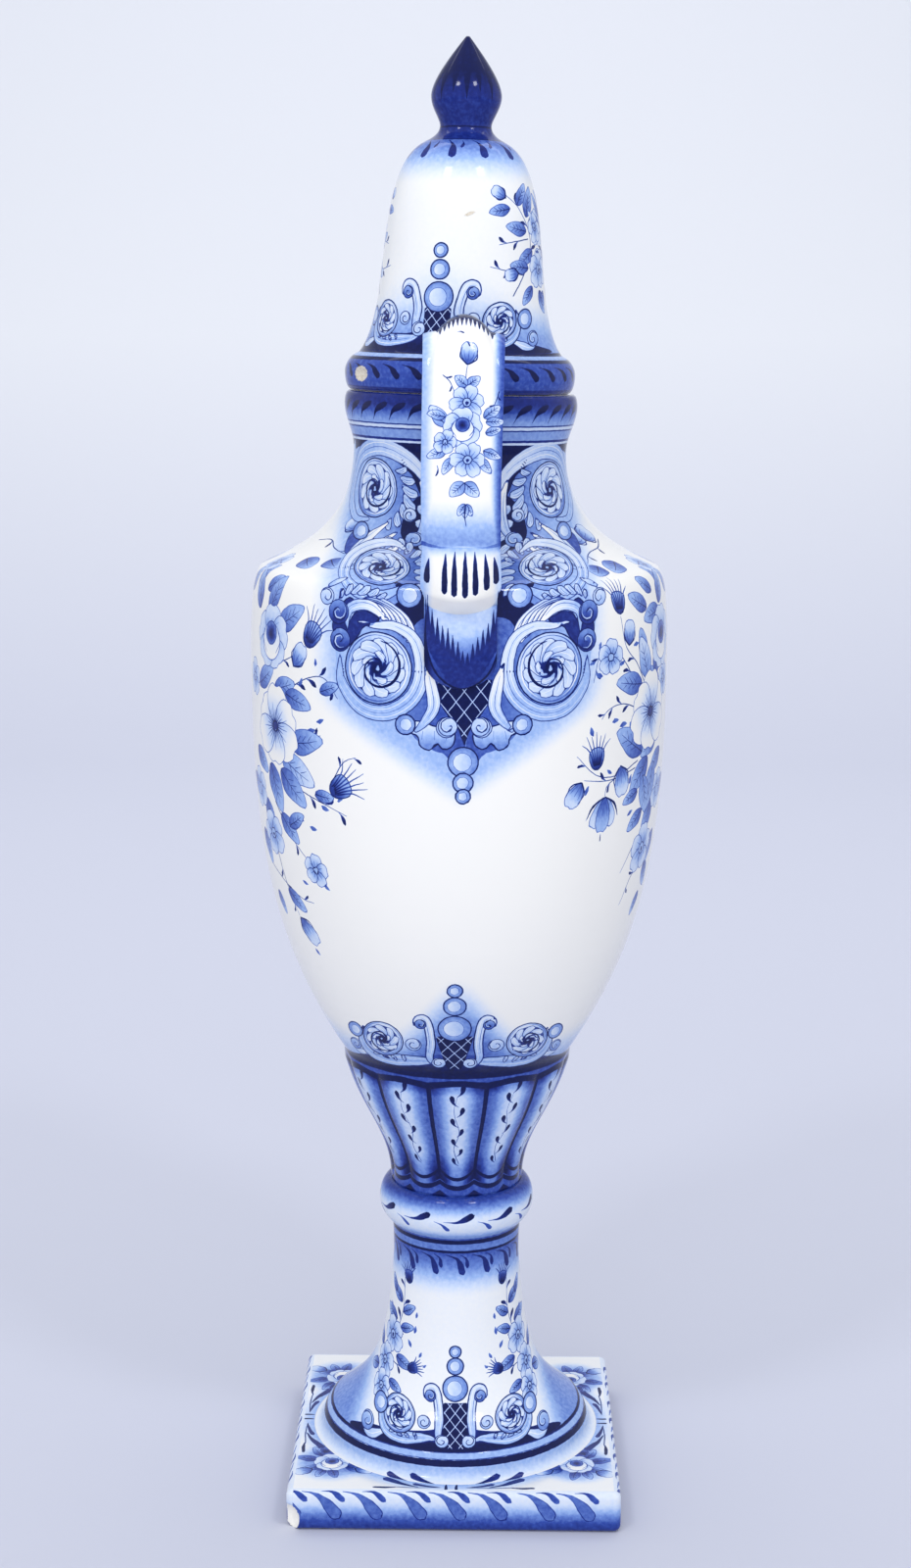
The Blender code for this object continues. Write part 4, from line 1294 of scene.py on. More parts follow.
def paint_foot_sprig(pen):
    """A rising sprig of small flowers beside the bell's scroll ornament."""
    stem(pen, [(55, 52), (48, 68), (42, 84), (36, 100), (35, 120)],
         ((0.15, 1, 7), (0.3, -1, 8), (0.45, 1, 8), (0.6, -1, 8), (0.75, 1, 7), (0.9, -1, 6)))
    stem(pen, [(48, 68), (38, 66), (28, 66)], ((0.4, 1, 6), (0.7, -1, 6)))
    draw(pen, [
        (thistle, 31, 117, 82, 10), (leaf, 37, 104, 40, 11), (leaf, 36, 98, 150, 9), (leaf, 44, 108, 60, 9),
        (leaf, 42, 92, 20, 12), (leaf, 38, 88, 165, 9), (flower, 46, 82, 0, 8.5, 5),
        (leaf, 41, 71, 200, 11), (thistle, 31, 66, 160, 9), (flower, 53, 65, 30, 8, 5),
        (leaf, 58, 72, 40, 10), (leaf, 60, 60, -10, 10), (flower, 53, 51, 10, 7, 5), (leaf, 46, 56, 200, 9),
    ], 1.3)
    for x, y, length, turn in ((26, 90, 5, 100), (30, 81, 5, 60), (22, 76, 4, 120), (19, 70, 3, 140),
                               (25, 99, 4, 100), (50, 98, 5, 60)):
        speck(pen, x, y, length, turn)


def paint_lid(canvas):
    """The lid's rim, its bell and its bud."""
    v = canvas.along
    turn = math.radians(-16)
    front = np.abs(wrapped(canvas.across - FRONT - turn)) * canvas.reach
    back = np.abs(wrapped(canvas.across - BACK - turn)) * canvas.reach
    x = np.minimum(front, back)
    canvas.ground[:] = 0.60 * ease((v - 120) / 34) + 0.20 * ease((v - 150) / 12)
    canvas.ground += 0.20 * ease((v - 176) / 24)
    # The 0.025 over the whole lid is painted shade that greys its white glaze; the other terms are its
    # airbrushed blue
    canvas.ground += 0.025 + 0.32 * ease((60 - v) / 26) + 0.10 * ease((88 - v - 0.5 * x) / 30)
    canvas.band(-2, 19.5, 0.68)
    canvas.band(-3, 4, DEEP)
    canvas.ring(20.6, 1.3, NAVY)
    canvas.band(22.2, 26, 0.34)
    canvas.ring(27, 1.2, NAVY)
    for pen in around(canvas, 30, 2, 22, 14):
        drop(pen, -7, 17, 13, 1.9, -30, NAVY)
    for centre in (FRONT + turn, BACK + turn):
        pen = Pen(canvas, centre, 22, 160, 95)
        ground = [(72, 28), (62, 33), (40, 36), (20, 38), (0, 41)]
        pen.shape(both_sides(ground), fade(NAVY, DEEP, (0, 30), (0, 42)), 0.1, DEEP)
        paint_scroll_foot(pen, [(59, 8.3), (74, 5.4), (84.5, 4)], (7.5, 37), (7.5, 53),
                          ((18.5, 62), 12, (10.5, 41)), (20, 47), (36, 46.5), 11.0, (53, 48, 5.6),
                          ((60, 37), 4.6, 30))
    for side in (0, 1):
        pen = Pen(canvas, FRONT + side * math.pi, 40, 135, 90)
        paint_lid_spray(pen, 1.12)
        paint_lid_spray(pen.at(-34, 0, mirror=True), 0.9)
    for pen in around(canvas, 11, 120, 160, 16, turn):
        drop(pen, -3, 151, 13, 2.3, -70, (NAVY, DEEP))
        drop(pen, 5, 150, 6, 1.0, -80, (NAVY, DEEP))
    canvas.band(152, 163, DEEP, 0.4, NAVY)
    for index, pen in enumerate(around(canvas, 16, 168, 222, 8)):
        pen.line([(0, 178 + 4 * (index % 2)), (0, 198), (0, 216)], (0.1, 1.8, 1.6, 1.0), NAVY)
    flaw = Pen(canvas, FRONT, 98, 110, 12)
    rise = (canvas.along - 104.5) - 0.35 * (wrapped(canvas.across - FRONT) * canvas.reach - 3)
    run = wrapped(canvas.across - FRONT) * canvas.reach - 3
    near = np.hypot(run / 3.2, rise / 1.1) - 1
    canvas.bare[flaw.faces] = near[flaw.faces]


def paint_lid_spray(pen, grow):
    """The flower spray that climbs one side of the lid."""
    stem(pen, [(30, 60), (40, 76), (44, 92), (34, 108), (20, 118)], ((0.2, 1, 7), (0.4, -1, 7),
                                                                     (0.6, 1, 7), (0.8, -1, 7)))
    stem(pen, [(42, 92), (30, 90), (20, 88)], ((0.4, 1, 6), (0.75, -1, 6)))
    stem(pen, [(38, 72), (26, 74), (15, 76)], ((0.4, 1, 6), (0.75, -1, 6)))
    draw(pen, [
        (closed_bud, 24, 114, 150, 9), (leaf, 27, 108, 190, 12), (leaf, 32, 110, 60, 13),
        (leaf, 40, 104, 75, 16), (leaf, 42, 100, 20, 15), (leaf, 40, 96, 170, 14),
        (flower, 53, 99, 0, 10, 6), (leaf, 46, 86, 215, 14), (leaf, 52, 86, -50, 14),
        (flower, 54, 76, 15, 10, 5), (leaf, 42, 76, 175, 13), (closed_bud, 34, 73, 190, 9),
        (leaf, 46, 66, 230, 12), (leaf, 54, 64, -60, 13), (leaf, 66, 88, 20, 14),
    ], grow)


def paint_strap(canvas, length_at):
    """A strap's face, its knuckle and its tongue."""
    x, y = canvas.across - 1.0, canvas.along
    on_strap = ease((y - 570) / 10)
    # Blue along the strap's edges: painted blue and also painted shade on its flanks, darker on the right
    # side
    edges = (0.48 + 0.20 * np.sign(x)) * ease((np.abs(x) - 14.5 + 0.8 * np.sign(x)) / 6.5)
    low = 0.42 * ease((604 - y) / 26)
    tongue = 0.22 + 0.5 * ease((532 - y + 0.03 * x * x) / 18) + 0.3 * ease((np.abs(x) - 14) / 6)
    knuckle = 0.30 * ease((np.abs(x) - 15) / 7)
    canvas.ground[:] = np.where(y < 547, tongue, np.maximum(np.maximum(edges, low) * on_strap, knuckle))
    canvas.ground[y > length_at(697.0) + 30] = 0.55
    pen = Pen(canvas, 0.0, 490, 760, 40).at(1.2, 0)
    paint_strap_top(pen, length_at)
    paint_strap_posy(pen, length_at)
    for place in (-19.4, -10, -4.8, 1.0, 6.5, 12.5, 17.6):
        upper, lower = 575.5 - 0.012 * place ** 2, 552.5 + 0.012 * place ** 2
        groove = [(place * 0.93, upper), (place * 0.98, (upper + lower) / 2), (place, lower)]
        pen.line(groove, (0.15, 0.9, 1.35, 1.6, 1.5), (DEEP, NAVY, NAVY))
    pen.line([(-22, 579), (-12, 577), (0, 577.5), (12, 577), (22, 579)], (1.2, 0.4, 0.2, 0.4, 1.2),
             (COBALT, MID, PALE, MID, COBALT))
    pen.shape([(-20, 530), (-17, 514), (-10, 505), (0, 500), (10, 505), (17, 514), (20, 530), (15, 520),
               (8, 514), (0, 512), (-8, 514), (-15, 520)],
              fade(DEEP, COBALT, (0, 500), (0, 522)), 0.1, DEEP)
    tips = ((-18.8, 548), (-16.4, 543), (-13.6, 539), (-10.8, 535), (-8, 534), (-5.4, 530), (-2.6, 527),
            (0, 522), (2.6, 521), (5.4, 526), (8, 529), (10.8, 533), (13.6, 536), (16.4, 543),
            (18.8, 549))
    for place, tip in tips:
        foot = 509 + 0.040 * place ** 2
        spike = [(place * 0.72, foot - 5), (place * 0.96, foot + 4), (place, tip)]
        pen.line(spike, (2.2, 1.6, 0.08), (DEEP, DEEP, NAVY))
    pen.line([(-19.8, 547), (-19.3, 524), (-13, 508), (0, 501), (13, 508), (19.3, 524), (19.8, 547)],
             (0.2, 0.5, 0.6, 0.5, 0.2), NAVY)


def paint_strap_top(pen, length_at):
    """The dark cap over the arch, with its fringe."""
    top = length_at(696.0)
    cap = [(-15, top), (15, top), (16.5, top + 12), (15, top + 44), (-15, top + 44), (-16.5, top + 12)]
    pen.shape(cap, NAVY, 0.2, NAVY, smooth=False)
    for index in range(13):
        x = -13.5 + index * 27 / 12
        pen.line([(x, top + 2), (x * 1.01, top - 2.5), (x * 1.03, top - 7.5)], (1.0, 0.75, 0.08), NAVY)


def paint_strap_posy(pen, length_at):
    """The posy that runs down the strap."""
    bud_y = length_at(672)
    stem(pen, [(-1, length_at(655)), (0, length_at(664)), (1, bud_y)], width=0.2)
    closed_bud(pen.at(1, bud_y, 84, reach=16), 13)
    for side in (1, -1):
        leaf(pen.at(1, length_at(661), 90 - side * 52, reach=14), 8.5, 6, MID, PALE)
    pen.comma(-5, length_at(689), 4, 0.5, -20)
    pen.comma(0, length_at(684), 3.5, 0.6, -60)
    stem(pen, [(-12, length_at(667)), (-8, length_at(663)), (-5, length_at(656))], ((0.2, 1, 3.5),
                                                                                    (0.6, -1, 3.5),
                                                                                    (0.95, 1, 3)), 0.18)
    stem(pen, [(18, length_at(660)), (16.5, 655), (15, 651)], ((0.3, 1, 3), (0.9, -1, 3)), 0.18)
    for x, y, turn, size in ((-9, 640, 130, 13), (-10, 645, 165, 9), (10, 645, 40, 10), (11, 643, 5, 9),
                             (-9, 628, 200, 10), (-6, 624, 240, 9), (10, 628, -20, 9), (8, 624, -50, 9),
                             (11, 637, 20, 8), (-7, 634, 190, 8)):
        leaf(pen.at(x, y, turn, reach=18), size * 1.15, None, MID, PALE)
    flower(pen.at(1, 653, 10, reach=12), 9.4, 6)
    rose(pen.at(-1, 640, 0, reach=14), 10.4)
    flower(pen.at(2, 623, 0, reach=12), 9.6, 6)
    flower(pen.at(-10, 632, 0, reach=12), 6.5, 5)
    for side in (1, -1):
        leaf(pen.at(0.5, 611, -90 + side * 48, reach=14), 10.5, 7.5, MID, PALE)
    for turn in (-60, -92, -124):
        leaf(pen.at(1, 600, turn, reach=12), 7.5, 4.2, MID, PALE)
    pen.line([(1, 600), (0.5, 594), (1.5, 588)], (0.2, 0.3, 0.1), NAVY)
    pen.comma(-14, 620, 6, 0.5, -100)


# Painting: the plinth

def paint_plinth_top(canvas):
    """Roses in the corners and comma sprays between them, round a soft blue halo that is partly painted
    shade where the foot stands on the plinth.
    """
    reach = np.hypot(canvas.across, canvas.along)
    roses = np.hypot(np.abs(canvas.across) - 73, np.abs(canvas.along) - 60)
    # The first term is the halo round the foot's base: airbrushed blue and partly painted shade where the
    # foot meets the plinth
    canvas.ground[:] = 0.30 * ease((100 - reach) / 14) + 0.40 * ease((27 - roses) / 15) + 0.02
    pen = Pen(canvas, 0.0, -200, 200, 200)
    for side in range(4):
        own = pen.at(0, 0, 90 * side)
        for half in halves(own):
            half.line([(6, -91), (22, -91.5), (36, -90.5)], (0.2, 0.35, 0.3), NAVY)
            half.line([(34, -91), (40, -91.5), (47, -91)], (0.3, 1.1, 0.9), NAVY)
            half.line([(20, -91), (29, -87.5), (36, -83), (40, -80.5)], (0.2, 0.9, 1.9, 2.2), (NAVY, DEEP))
            half.line([(8, -91), (16, -89.5), (23, -87)], (0.2, 0.9, 1.5), (NAVY, DEEP))
        for x in (-4.5, 1.5):
            own.line([(x, -93), (x, -90), (x + 0.2, -88)], (0.9, 0.8, 0.5), NAVY, smooth=False)
    for turn in (0, 180):
        for half in halves(pen.at(0, 0, turn)):
            corner = half.at(-73, -60, reach=40)
            draw(corner, [
                (leaf, -5, -5, 200, 14, None, DEEP, LIGHT), (leaf, -8, 3, 165, 15, None, DEEP, MID),
                (leaf, -6, 8, 118, 13, None, DEEP, LIGHT), (leaf, 5, 7, 62, 12, None, DEEP, LIGHT),
                (leaf, 9, 2, 15, 15, None, DEEP, LIGHT), (leaf, 8, -5, -24, 17, None, DEEP, LIGHT),
                (leaf, 0, -8, -75, 13, None, DEEP, MID), (closed_bud, -11, -9, 205, 12),
                (closed_bud, 14, -8, -18, 12), (leaf, -4, -8, -110, 12, None, DEEP, LIGHT),
                (thistle, -4, 12, 100, 11),
            ])
            rose(corner, 11)


def paint_plinth_side(canvas):
    """A cobalt foot that fades upward, with slanting drops."""
    x, z = canvas.across, canvas.along
    canvas.ground[:] = 0.10 + 0.66 * ease((20 - z) / 17)
    pen = Pen(canvas, 0.0, -10, 30, 110)
    big = [(x, 3.9) for x in (-69, -45, -19, 4, 28, 56, 79)] + [(-91, 2.2)]
    for x, wide in big:
        path = [(x - 20, 24.6), (x - 12, 23.0), (x - 6, 18.5), (x, 11.0)]
        for grow, tone in ((1.0, DEEP), (0.86, 0.60)):
            pen.line(path, (0.15, *np.multiply((0.12, 0.45, 0.9, 1.0), wide * grow)), tone)
        drop(pen, x - 9, 24.6, 14, 1.8, -20, (DEEP, COBALT), 0.16)


# Finishes

def new_group(name, inputs, outputs):
    """An empty shader node group with named sockets."""
    group = bpy.data.node_groups.new(name, "ShaderNodeTree")
    for label, kind in inputs:
        group.interface.new_socket(label, in_out="INPUT", socket_type=kind)
    for label, kind in outputs:
        group.interface.new_socket(label, in_out="OUTPUT", socket_type=kind)
    return group, group.nodes.new("NodeGroupInput"), group.nodes.new("NodeGroupOutput")


def feed(node, inputs):
    """Feed a node's inputs, each by a socket or a plain value."""
    for label, value in inputs.items():
        if isinstance(value, bpy.types.NodeSocket):
            node.id_data.links.new(value, node.inputs[label])
        else:
            node.inputs[label].default_value = value


def add_node(tree, kind, inputs, **settings):
    """A shader node with its settings made and its inputs fed."""
    node = tree.nodes.new("ShaderNode" + kind)
    for label, value in settings.items():
        setattr(node, label, value)
    feed(node, inputs)
    return node


def add_maths(tree, operation, *values, clamp=False):
    """The result of a maths node fed by sockets or plain numbers."""
    return add_node(tree, "Math", dict(enumerate(values)), operation=operation, use_clamp=clamp).outputs[0]


def add_noise(tree, place, scale, detail=2.0):
    """The value of a noise that is laid out in the piece's own metres."""
    return add_node(tree, "TexNoise", {"Vector": place, "Scale": scale, "Detail": detail}).outputs[0]


def add_mix(tree, factor, first, second):
    """The mix of two colours."""
    given = {"Factor": factor, "A": first, "B": second}
    return add_node(tree, "Mix", given, data_type="RGBA").outputs["Result"]


def brush_group():
    """One layer of brushwork laid over a tone: its fill, then its line."""
    group, given, result = new_group("brush layer", [
        ("Tone", "NodeSocketFloat"), ("Stroke", "NodeSocketColor"), ("Line Tone", "NodeSocketFloat"),
        ("Waver", "NodeSocketFloat"), ("Bleed", "NodeSocketFloat"),
    ], [("Tone", "NodeSocketFloat")])
    maths = partial(add_maths, group)
    under, stroke, line, waver, bleed = list(given.outputs)[:5]
    edge, half, fill = list(add_node(group, "SeparateColor", {0: stroke}).outputs)[:3]
    distance = maths("ADD", edge, waver)
    inside = maths("SUBTRACT", 0.5, maths("DIVIDE", distance, bleed), clamp=True)
    filled = maths("MULTIPLY", inside, maths("GREATER_THAN", fill, NO_TONE / 2))
    with_fill = maths("MULTIPLY_ADD", filled, maths("SUBTRACT", fill, under), under)
    to_edge = maths("SUBTRACT", half, maths("ABSOLUTE", distance))
    on_line = maths("ADD", 0.5, maths("DIVIDE", to_edge, bleed), clamp=True)
    drawn = maths("MULTIPLY", on_line, maths("GREATER_THAN", line, NO_TONE / 2))
    feed(result, {"Tone": maths("MULTIPLY_ADD", drawn, maths("SUBTRACT", line, with_fill), with_fill)})
    return group


def underglaze_group():
    """The blue's colour for a tone, with streaks of the brush, and the grainy clay where the glaze is
    chipped.
    """
    group, given, result = new_group("underglaze blue", [
        ("Tone", "NodeSocketFloat"), ("Place", "NodeSocketVector"), ("Bare", "NodeSocketFloat"),
        ("Clay", "NodeSocketColor"),
    ], [("Color", "NodeSocketColor"), ("Roughness", "NodeSocketFloat"), ("Height", "NodeSocketFloat")])
    maths = partial(add_maths, group)
    tone, place, bare, clay = list(given.outputs)[:4]
    swing = maths("SUBTRACT", add_noise(group, place, STREAK_SCALE, STREAK_DETAIL), 0.5)
    middle = maths("MULTIPLY", maths("MULTIPLY", tone, maths("SUBTRACT", 1.15, tone)), swing)
    ramp = add_node(group, "ValToRGB", {0: maths("MULTIPLY_ADD", middle, 0.9, tone, clamp=True)})
    elements = ramp.color_ramp.elements
    elements.remove(elements[-1])
    for index, (level, colour) in enumerate(SURFACE_TONES):
        element = elements.new(level) if index else elements[0]
        element.position = level
        element.color = colour
    grains = add_noise(group, place, GRAIN_SCALE)
    colour = add_mix(group, bare, ramp.outputs[0], add_mix(group, grains, clay, PALE_CLAY))
    gloss = maths("MULTIPLY_ADD", swing, GLOSS_CHANGE, GLAZE_ROUGHNESS)
    rough = maths("MULTIPLY_ADD", bare, CLAY_ROUGHNESS, gloss, clamp=True)
    rugged = maths("MULTIPLY", maths("MULTIPLY", grains, bare), RUGGEDNESS)
    height = maths("ADD", add_noise(group, place, RIPPLE_SCALE), rugged)
    feed(result, {"Color": colour, "Roughness": rough, "Height": height})
    return group


def painted_glaze(name, brush, blue, clay):
    """Glossy white tin glaze over the blue painting that the mesh carries. The clay shows in chips."""
    material = bpy.data.materials.new(name)
    material.use_nodes = True
    tree = material.node_tree
    maths = partial(add_maths, tree)
    place = add_node(tree, "TexCoord", {}).outputs["Object"]
    shake = maths("MULTIPLY", maths("SUBTRACT", add_noise(tree, place, WAVER_SCALE), 0.5), WAVER_WIDTH)
    tone = add_node(tree, "Attribute", {}, attribute_name="ground").outputs["Fac"]
    for layer in range(LAYERS):
        stroke = add_node(tree, "Attribute", {}, attribute_name="stroke_%d" % layer).outputs
        given = {"Tone": tone, "Stroke": stroke["Color"], "Line Tone": stroke["Alpha"], "Waver": shake,
                 "Bleed": BLEED}
        tone = add_node(tree, "Group", given, node_tree=brush).outputs["Tone"]
    bare = add_node(tree, "Attribute", {}, attribute_name="bare").outputs["Fac"]
    broken = maths("SUBTRACT", 0.5, maths("MULTIPLY", bare, 2.5), clamp=True)
    given = {"Tone": tone, "Place": place, "Bare": broken, "Clay": clay}
    surface = add_node(tree, "Group", given, node_tree=blue).outputs
    relief = {"Strength": BUMP_STRENGTH, "Distance": BUMP_DISTANCE, "Height": surface["Height"]}
    feed(tree.nodes["Principled BSDF"], {
        "Base Color": surface["Color"],
        "Roughness": surface["Roughness"],
        "Normal": add_node(tree, "Bump", relief).outputs["Normal"],
        "IOR": GLAZE_IOR,
        "Specular IOR Level": GLAZE_SPECULAR,
    })
    return material


# Pieces

def face_corners(values):
    """Values at a grid's points, at the four corners of each of its faces."""
    lower, upper = values[:-1], values[1:]
    return np.stack([lower[:, :-1], lower[:, 1:], upper[:, 1:], upper[:, :-1]], -1).reshape(-1, 4)


def closed_grid(values):
    """A grid with its first column once more at its end."""
    return np.concatenate([values, values[:, :1]], 1)


def turned_canvas(outline, lengths, columns, first_row):
    """The canvas of the painted rows of a turned piece."""
    angle = np.arange(columns + 1) * (2 * math.pi / columns)
    reach = outline.at(lengths)[0] * MM
    parts = np.broadcast_arrays(angle, lengths[:, None], reach[:, None])
    return Canvas(*map(face_corners, parts), first_row * columns)


def spaced(marks):
    """Lengths spaced evenly between marks, each given as (length, step from there on)."""
    parts = []
    for (low, step), (high, _) in zip(marks, marks[1:]):
        parts.append(np.linspace(low, high, max(2, int(round((high - low) / step)) + 1))[:-1])
    return np.concatenate(parts + [[marks[-1][0]]])


def body_place(radius, angle, height):
    """Points of the body, with gadroons where the cup is."""
    inside = (height > CUP_FOOT) & (height < BELLY_FOOT)
    reach = radius - np.where(inside, lobe_cut(height, angle), 0.0) * (radius > 0)
    return leaned(np.stack([reach * np.cos(angle), reach * np.sin(angle), height], -1))


def make_vessel(finish):
    """The cup, belly, neck and mouth as one hollow piece."""
    lengths = spaced([(CUP_AT, FIRST_STEP), *VESSEL_ROWS, (MOUTH_AT, 0)])
    outer = BODY.points_at(lengths)
    low = BODY.length_at(CUP_FOOT + FLOOR_THICK)
    climb = np.linspace(low, BODY.length_at(NECK_LEVEL), WALL_RINGS)
    wall = inner_side(BODY.points_at(climb), BODY_WALL)
    wall = wall[wall[:, 1] > CUP_FOOT + FLOOR_THICK]
    throat = np.array([(MOUTH_BORE, NECK_LEVEL + THROAT_RISE), (MOUTH_BORE, COLLAR_LEVEL),
                       (MOUTH_BORE, MOUTH_LEVEL - LIP_BEVEL), (MOUTH_BORE + LIP_BEVEL, MOUTH_LEVEL)])
    floor = np.array([(FLOOR_RADIUS, CUP_FOOT + FLOOR_THICK)])
    profile = np.concatenate([outer, throat[::-1], wall[::-1], floor])
    item = turned("vessel", profile, VESSEL_COLUMNS, body_place, (CUP_FOOT, CUP_FOOT + FLOOR_THICK))
    canvas = turned_canvas(BODY, lengths, VESSEL_COLUMNS, 0)
    paint_vessel(canvas)
    return finished(item, finish, canvas)


def make_foot(finish):
    """The bell foot and the torus, hollow below."""
    lengths = spaced([*FOOT_ROWS, (CUP_AT, 0)])
    outer = BODY.points_at(lengths)
    climb = np.linspace(FOOT_WALL_START, BODY.length_at(CUP_FOOT - FOOT_ROOF_DROP), FOOT_WALL_RINGS)
    wall = inner_side(BODY.points_at(climb), BODY_WALL)
    sunk = PLINTH_THICK - FOOT_SINK
    rim = np.array([(BELL_RADIUS - BODY_WALL, sunk), (RING_RADIUS + RING_COVE, sunk)])
    roof = np.array([(wall[-1, 0] / 2, CUP_FOOT - FOOT_OVERLAP)])
    profile = np.concatenate([roof, wall[::-1], rim, outer])
    first_row = len(profile) - len(outer)
    item = turned("foot", profile, FOOT_COLUMNS, body_place, (CUP_FOOT - FOOT_OVERLAP, CUP_FOOT))
    canvas = turned_canvas(BODY, lengths, FOOT_COLUMNS, first_row)
    paint_foot(canvas)
    return finished(item, finish, canvas)


def rim_chip(radius, angle, height):
    """The lid's radius with the chip taken out of its rim, and millimetres from the chip's edge."""
    sideways = wrapped(angle - RIM_CHIP_ANGLE) * radius / RIM_CHIP_STRETCH
    away = np.hypot(sideways, height - RIM_CHIP_LEVEL)
    away = away * (1 + 0.10 * np.sin(angle * 90) * np.cos(height * 2100))
    floor = RIM_CHIP_REACH - np.sqrt(np.clip(RIM_CHIP_RADIUS ** 2 - away ** 2, 0, None))
    broken = (away < RIM_CHIP_RADIUS) & (radius > floor) & (radius > LID_FLARE_RADIUS)
    edge = math.sqrt(RIM_CHIP_RADIUS ** 2 - (RIM_CHIP_REACH - LID_RIM_BULGE) ** 2)
    return np.where(broken, floor, radius), (away - edge) * MM


def make_lid(finish):
    """The lid with its locating ring and its bud."""
    lengths = spaced([*LID_ROWS, (LID.length[-1], 0)])
    outer = LID.points_at(lengths)
    ceiling = LID_CAP_LEVEL - LID_WALL
    climb = np.linspace(LID.length_at(LID_DOME_LEVEL), LID_WALL_END, LID_WALL_RINGS)
    wall = inner_side(LID.points_at(climb), LID_WALL)
    wall = wall[(wall[:, 1] < ceiling - 0.001) & (wall[:, 0] > 0.004)]
    ring = np.array([(LOCATOR_BORE, LID_FLARE_LEVEL), (LOCATOR_BORE, SEAT_LEVEL - LOCATOR_DEPTH),
                     (LOCATOR_RADIUS, SEAT_LEVEL - LOCATOR_DEPTH), (LOCATOR_RADIUS, SEAT_LEVEL)])
    profile = np.concatenate([wall[::-1], ring, outer])
    first_row = len(profile) - len(outer)

    def place(radius, angle, height):
        cut = rim_chip(radius, angle, height)[0]
        return leaned(np.stack([LID_SHIFT + cut * np.cos(angle), cut * np.sin(angle), height], -1))

    item = turned("lid_piece", profile, LID_COLUMNS, place, (ceiling, TIP_LEVEL))
    canvas = turned_canvas(LID, lengths, LID_COLUMNS, first_row)
    paint_lid(canvas)
    radius, height = LID.at(canvas.along)
    canvas.bare[:] = np.minimum(canvas.bare, rim_chip(radius, canvas.across, height)[1])
    return finished(item, finish, canvas)


# Straps

def radius_at(height):
    """The body's radius at a height."""
    return np.interp(height, BODY.points[:, 1], BODY.points[:, 0])


def strap_line():
    """Stations of a strap's middle line: (reach, height, zone, share of the zone)."""
    tongue_foot = KNUCKLE_FOOT - TONGUE_LENGTH
    stations = []
    for share in np.concatenate([TONGUE_SHARES, np.linspace(0.04, 0.985, 38)]):
        height = tongue_foot + share * TONGUE_LENGTH
        stations.append((radius_at(height) + TONGUE_PROUD - STRAP_THICK / 2, height, "tongue", share))
    for share in np.concatenate([KNUCKLE_SHARES, np.linspace(0.10, 0.97, 22)]):
        stations.append((STRAP_REACH, KNUCKLE_FOOT + share * KNUCKLE_HEIGHT, "knuckle", share))
    foot = np.array((STRAP_REACH, KNUCKLE_FOOT + KNUCKLE_HEIGHT))
    arch = np.array((ARCH_REACH, ARCH_LEVEL))
    root = np.array((NECK_RADIUS, NECK_LEVEL)) - STRAP_ROOT_SINK
    stations.append((*foot, "strap", 0.0))
    limb = curve(foot, arch, (0.0, 0.50), (0.20, 1.0), LIMB_STEPS)
    stations += [(*point, "strap", (index + 1) / LIMB_STEPS) for index, point in enumerate(limb)]
    curled = curve(arch, root, (0.45, 0.0), (0.366, 0.49), CURL_STEPS)
    stations += [(*point, "curl", (index + 1) / CURL_STEPS) for index, point in enumerate(curled)]
    return stations


def strap_section(zone, share):
    """Half width, crown, half the crown's width and extra root behind, at a station."""
    wide = STRAP_WIDTH / 2
    full = 0.90 * wide
    if zone == "tongue":
        rounding = min(1.0, share / 0.35)
        half = TONGUE_WIDTH / 2 * math.sqrt(0.03 + 0.97 * (1 - (1 - rounding) ** 2))
        return half, STRAP_CROWN * (0.2 + 0.8 * rounding), 0.90 * half, 0.0
    if zone == "knuckle":
        swell = math.sin(math.pi * (0.28 + 0.72 * share)) ** 0.8
        lip = math.sqrt(1 - (1 - min(1.0, share / 0.14)) ** 2)
        crown = STRAP_CROWN + (KNUCKLE_CROWN - STRAP_CROWN) * swell * (0.15 + 0.85 * lip)
        half = TONGUE_WIDTH / 2 + (0.98 * wide - TONGUE_WIDTH / 2) * lip * (1 - 0.5 * share ** 3)
        return half, crown, full, KNUCKLE_ROOT * max(0.0, 1 - 2 * share)
    if zone == "curl":
        return wide, RIB_CROWN * (1 - ease((share - 0.15) / 0.60)), RIB_WIDTH / 2, 0.0
    gather = ease((share - 0.45) / 0.50)
    half = wide * (0.955 + 0.045 * share)
    crown = STRAP_CROWN + (RIB_CROWN - STRAP_CROWN) * gather
    return half, crown, full + (RIB_WIDTH / 2 - full) * gather, 0.0


def section_points(half, crown, crown_half, root):
    """A strap's cross-section as (sideways, outward): its face from left to right, then its back."""
    face = STRAP_THICK / 2
    across = np.sin(np.linspace(-1, 1, FACE_COLUMNS + 1) * CROWDING) / math.sin(CROWDING)
    sideways = across * half
    flank = face * (0.55 + 0.45 * (1 - np.abs(across) ** 6))
    swell = np.clip(1 - (sideways / crown_half) ** 2, 0, None)
    front = np.stack([sideways, flank + crown * swell], 1)
    back = -face - root
    behind = np.array([(half, 0.10 * face), (0.99 * half, back * 0.55), (0.93 * half, back * 0.88),
                       (0.84 * half, back), (0.3 * half, back), (-0.3 * half, back),
                       (-0.84 * half, back), (-0.93 * half, back * 0.88), (-0.99 * half, back * 0.55),
                       (-half, 0.10 * face)])
    return np.concatenate([front, behind])


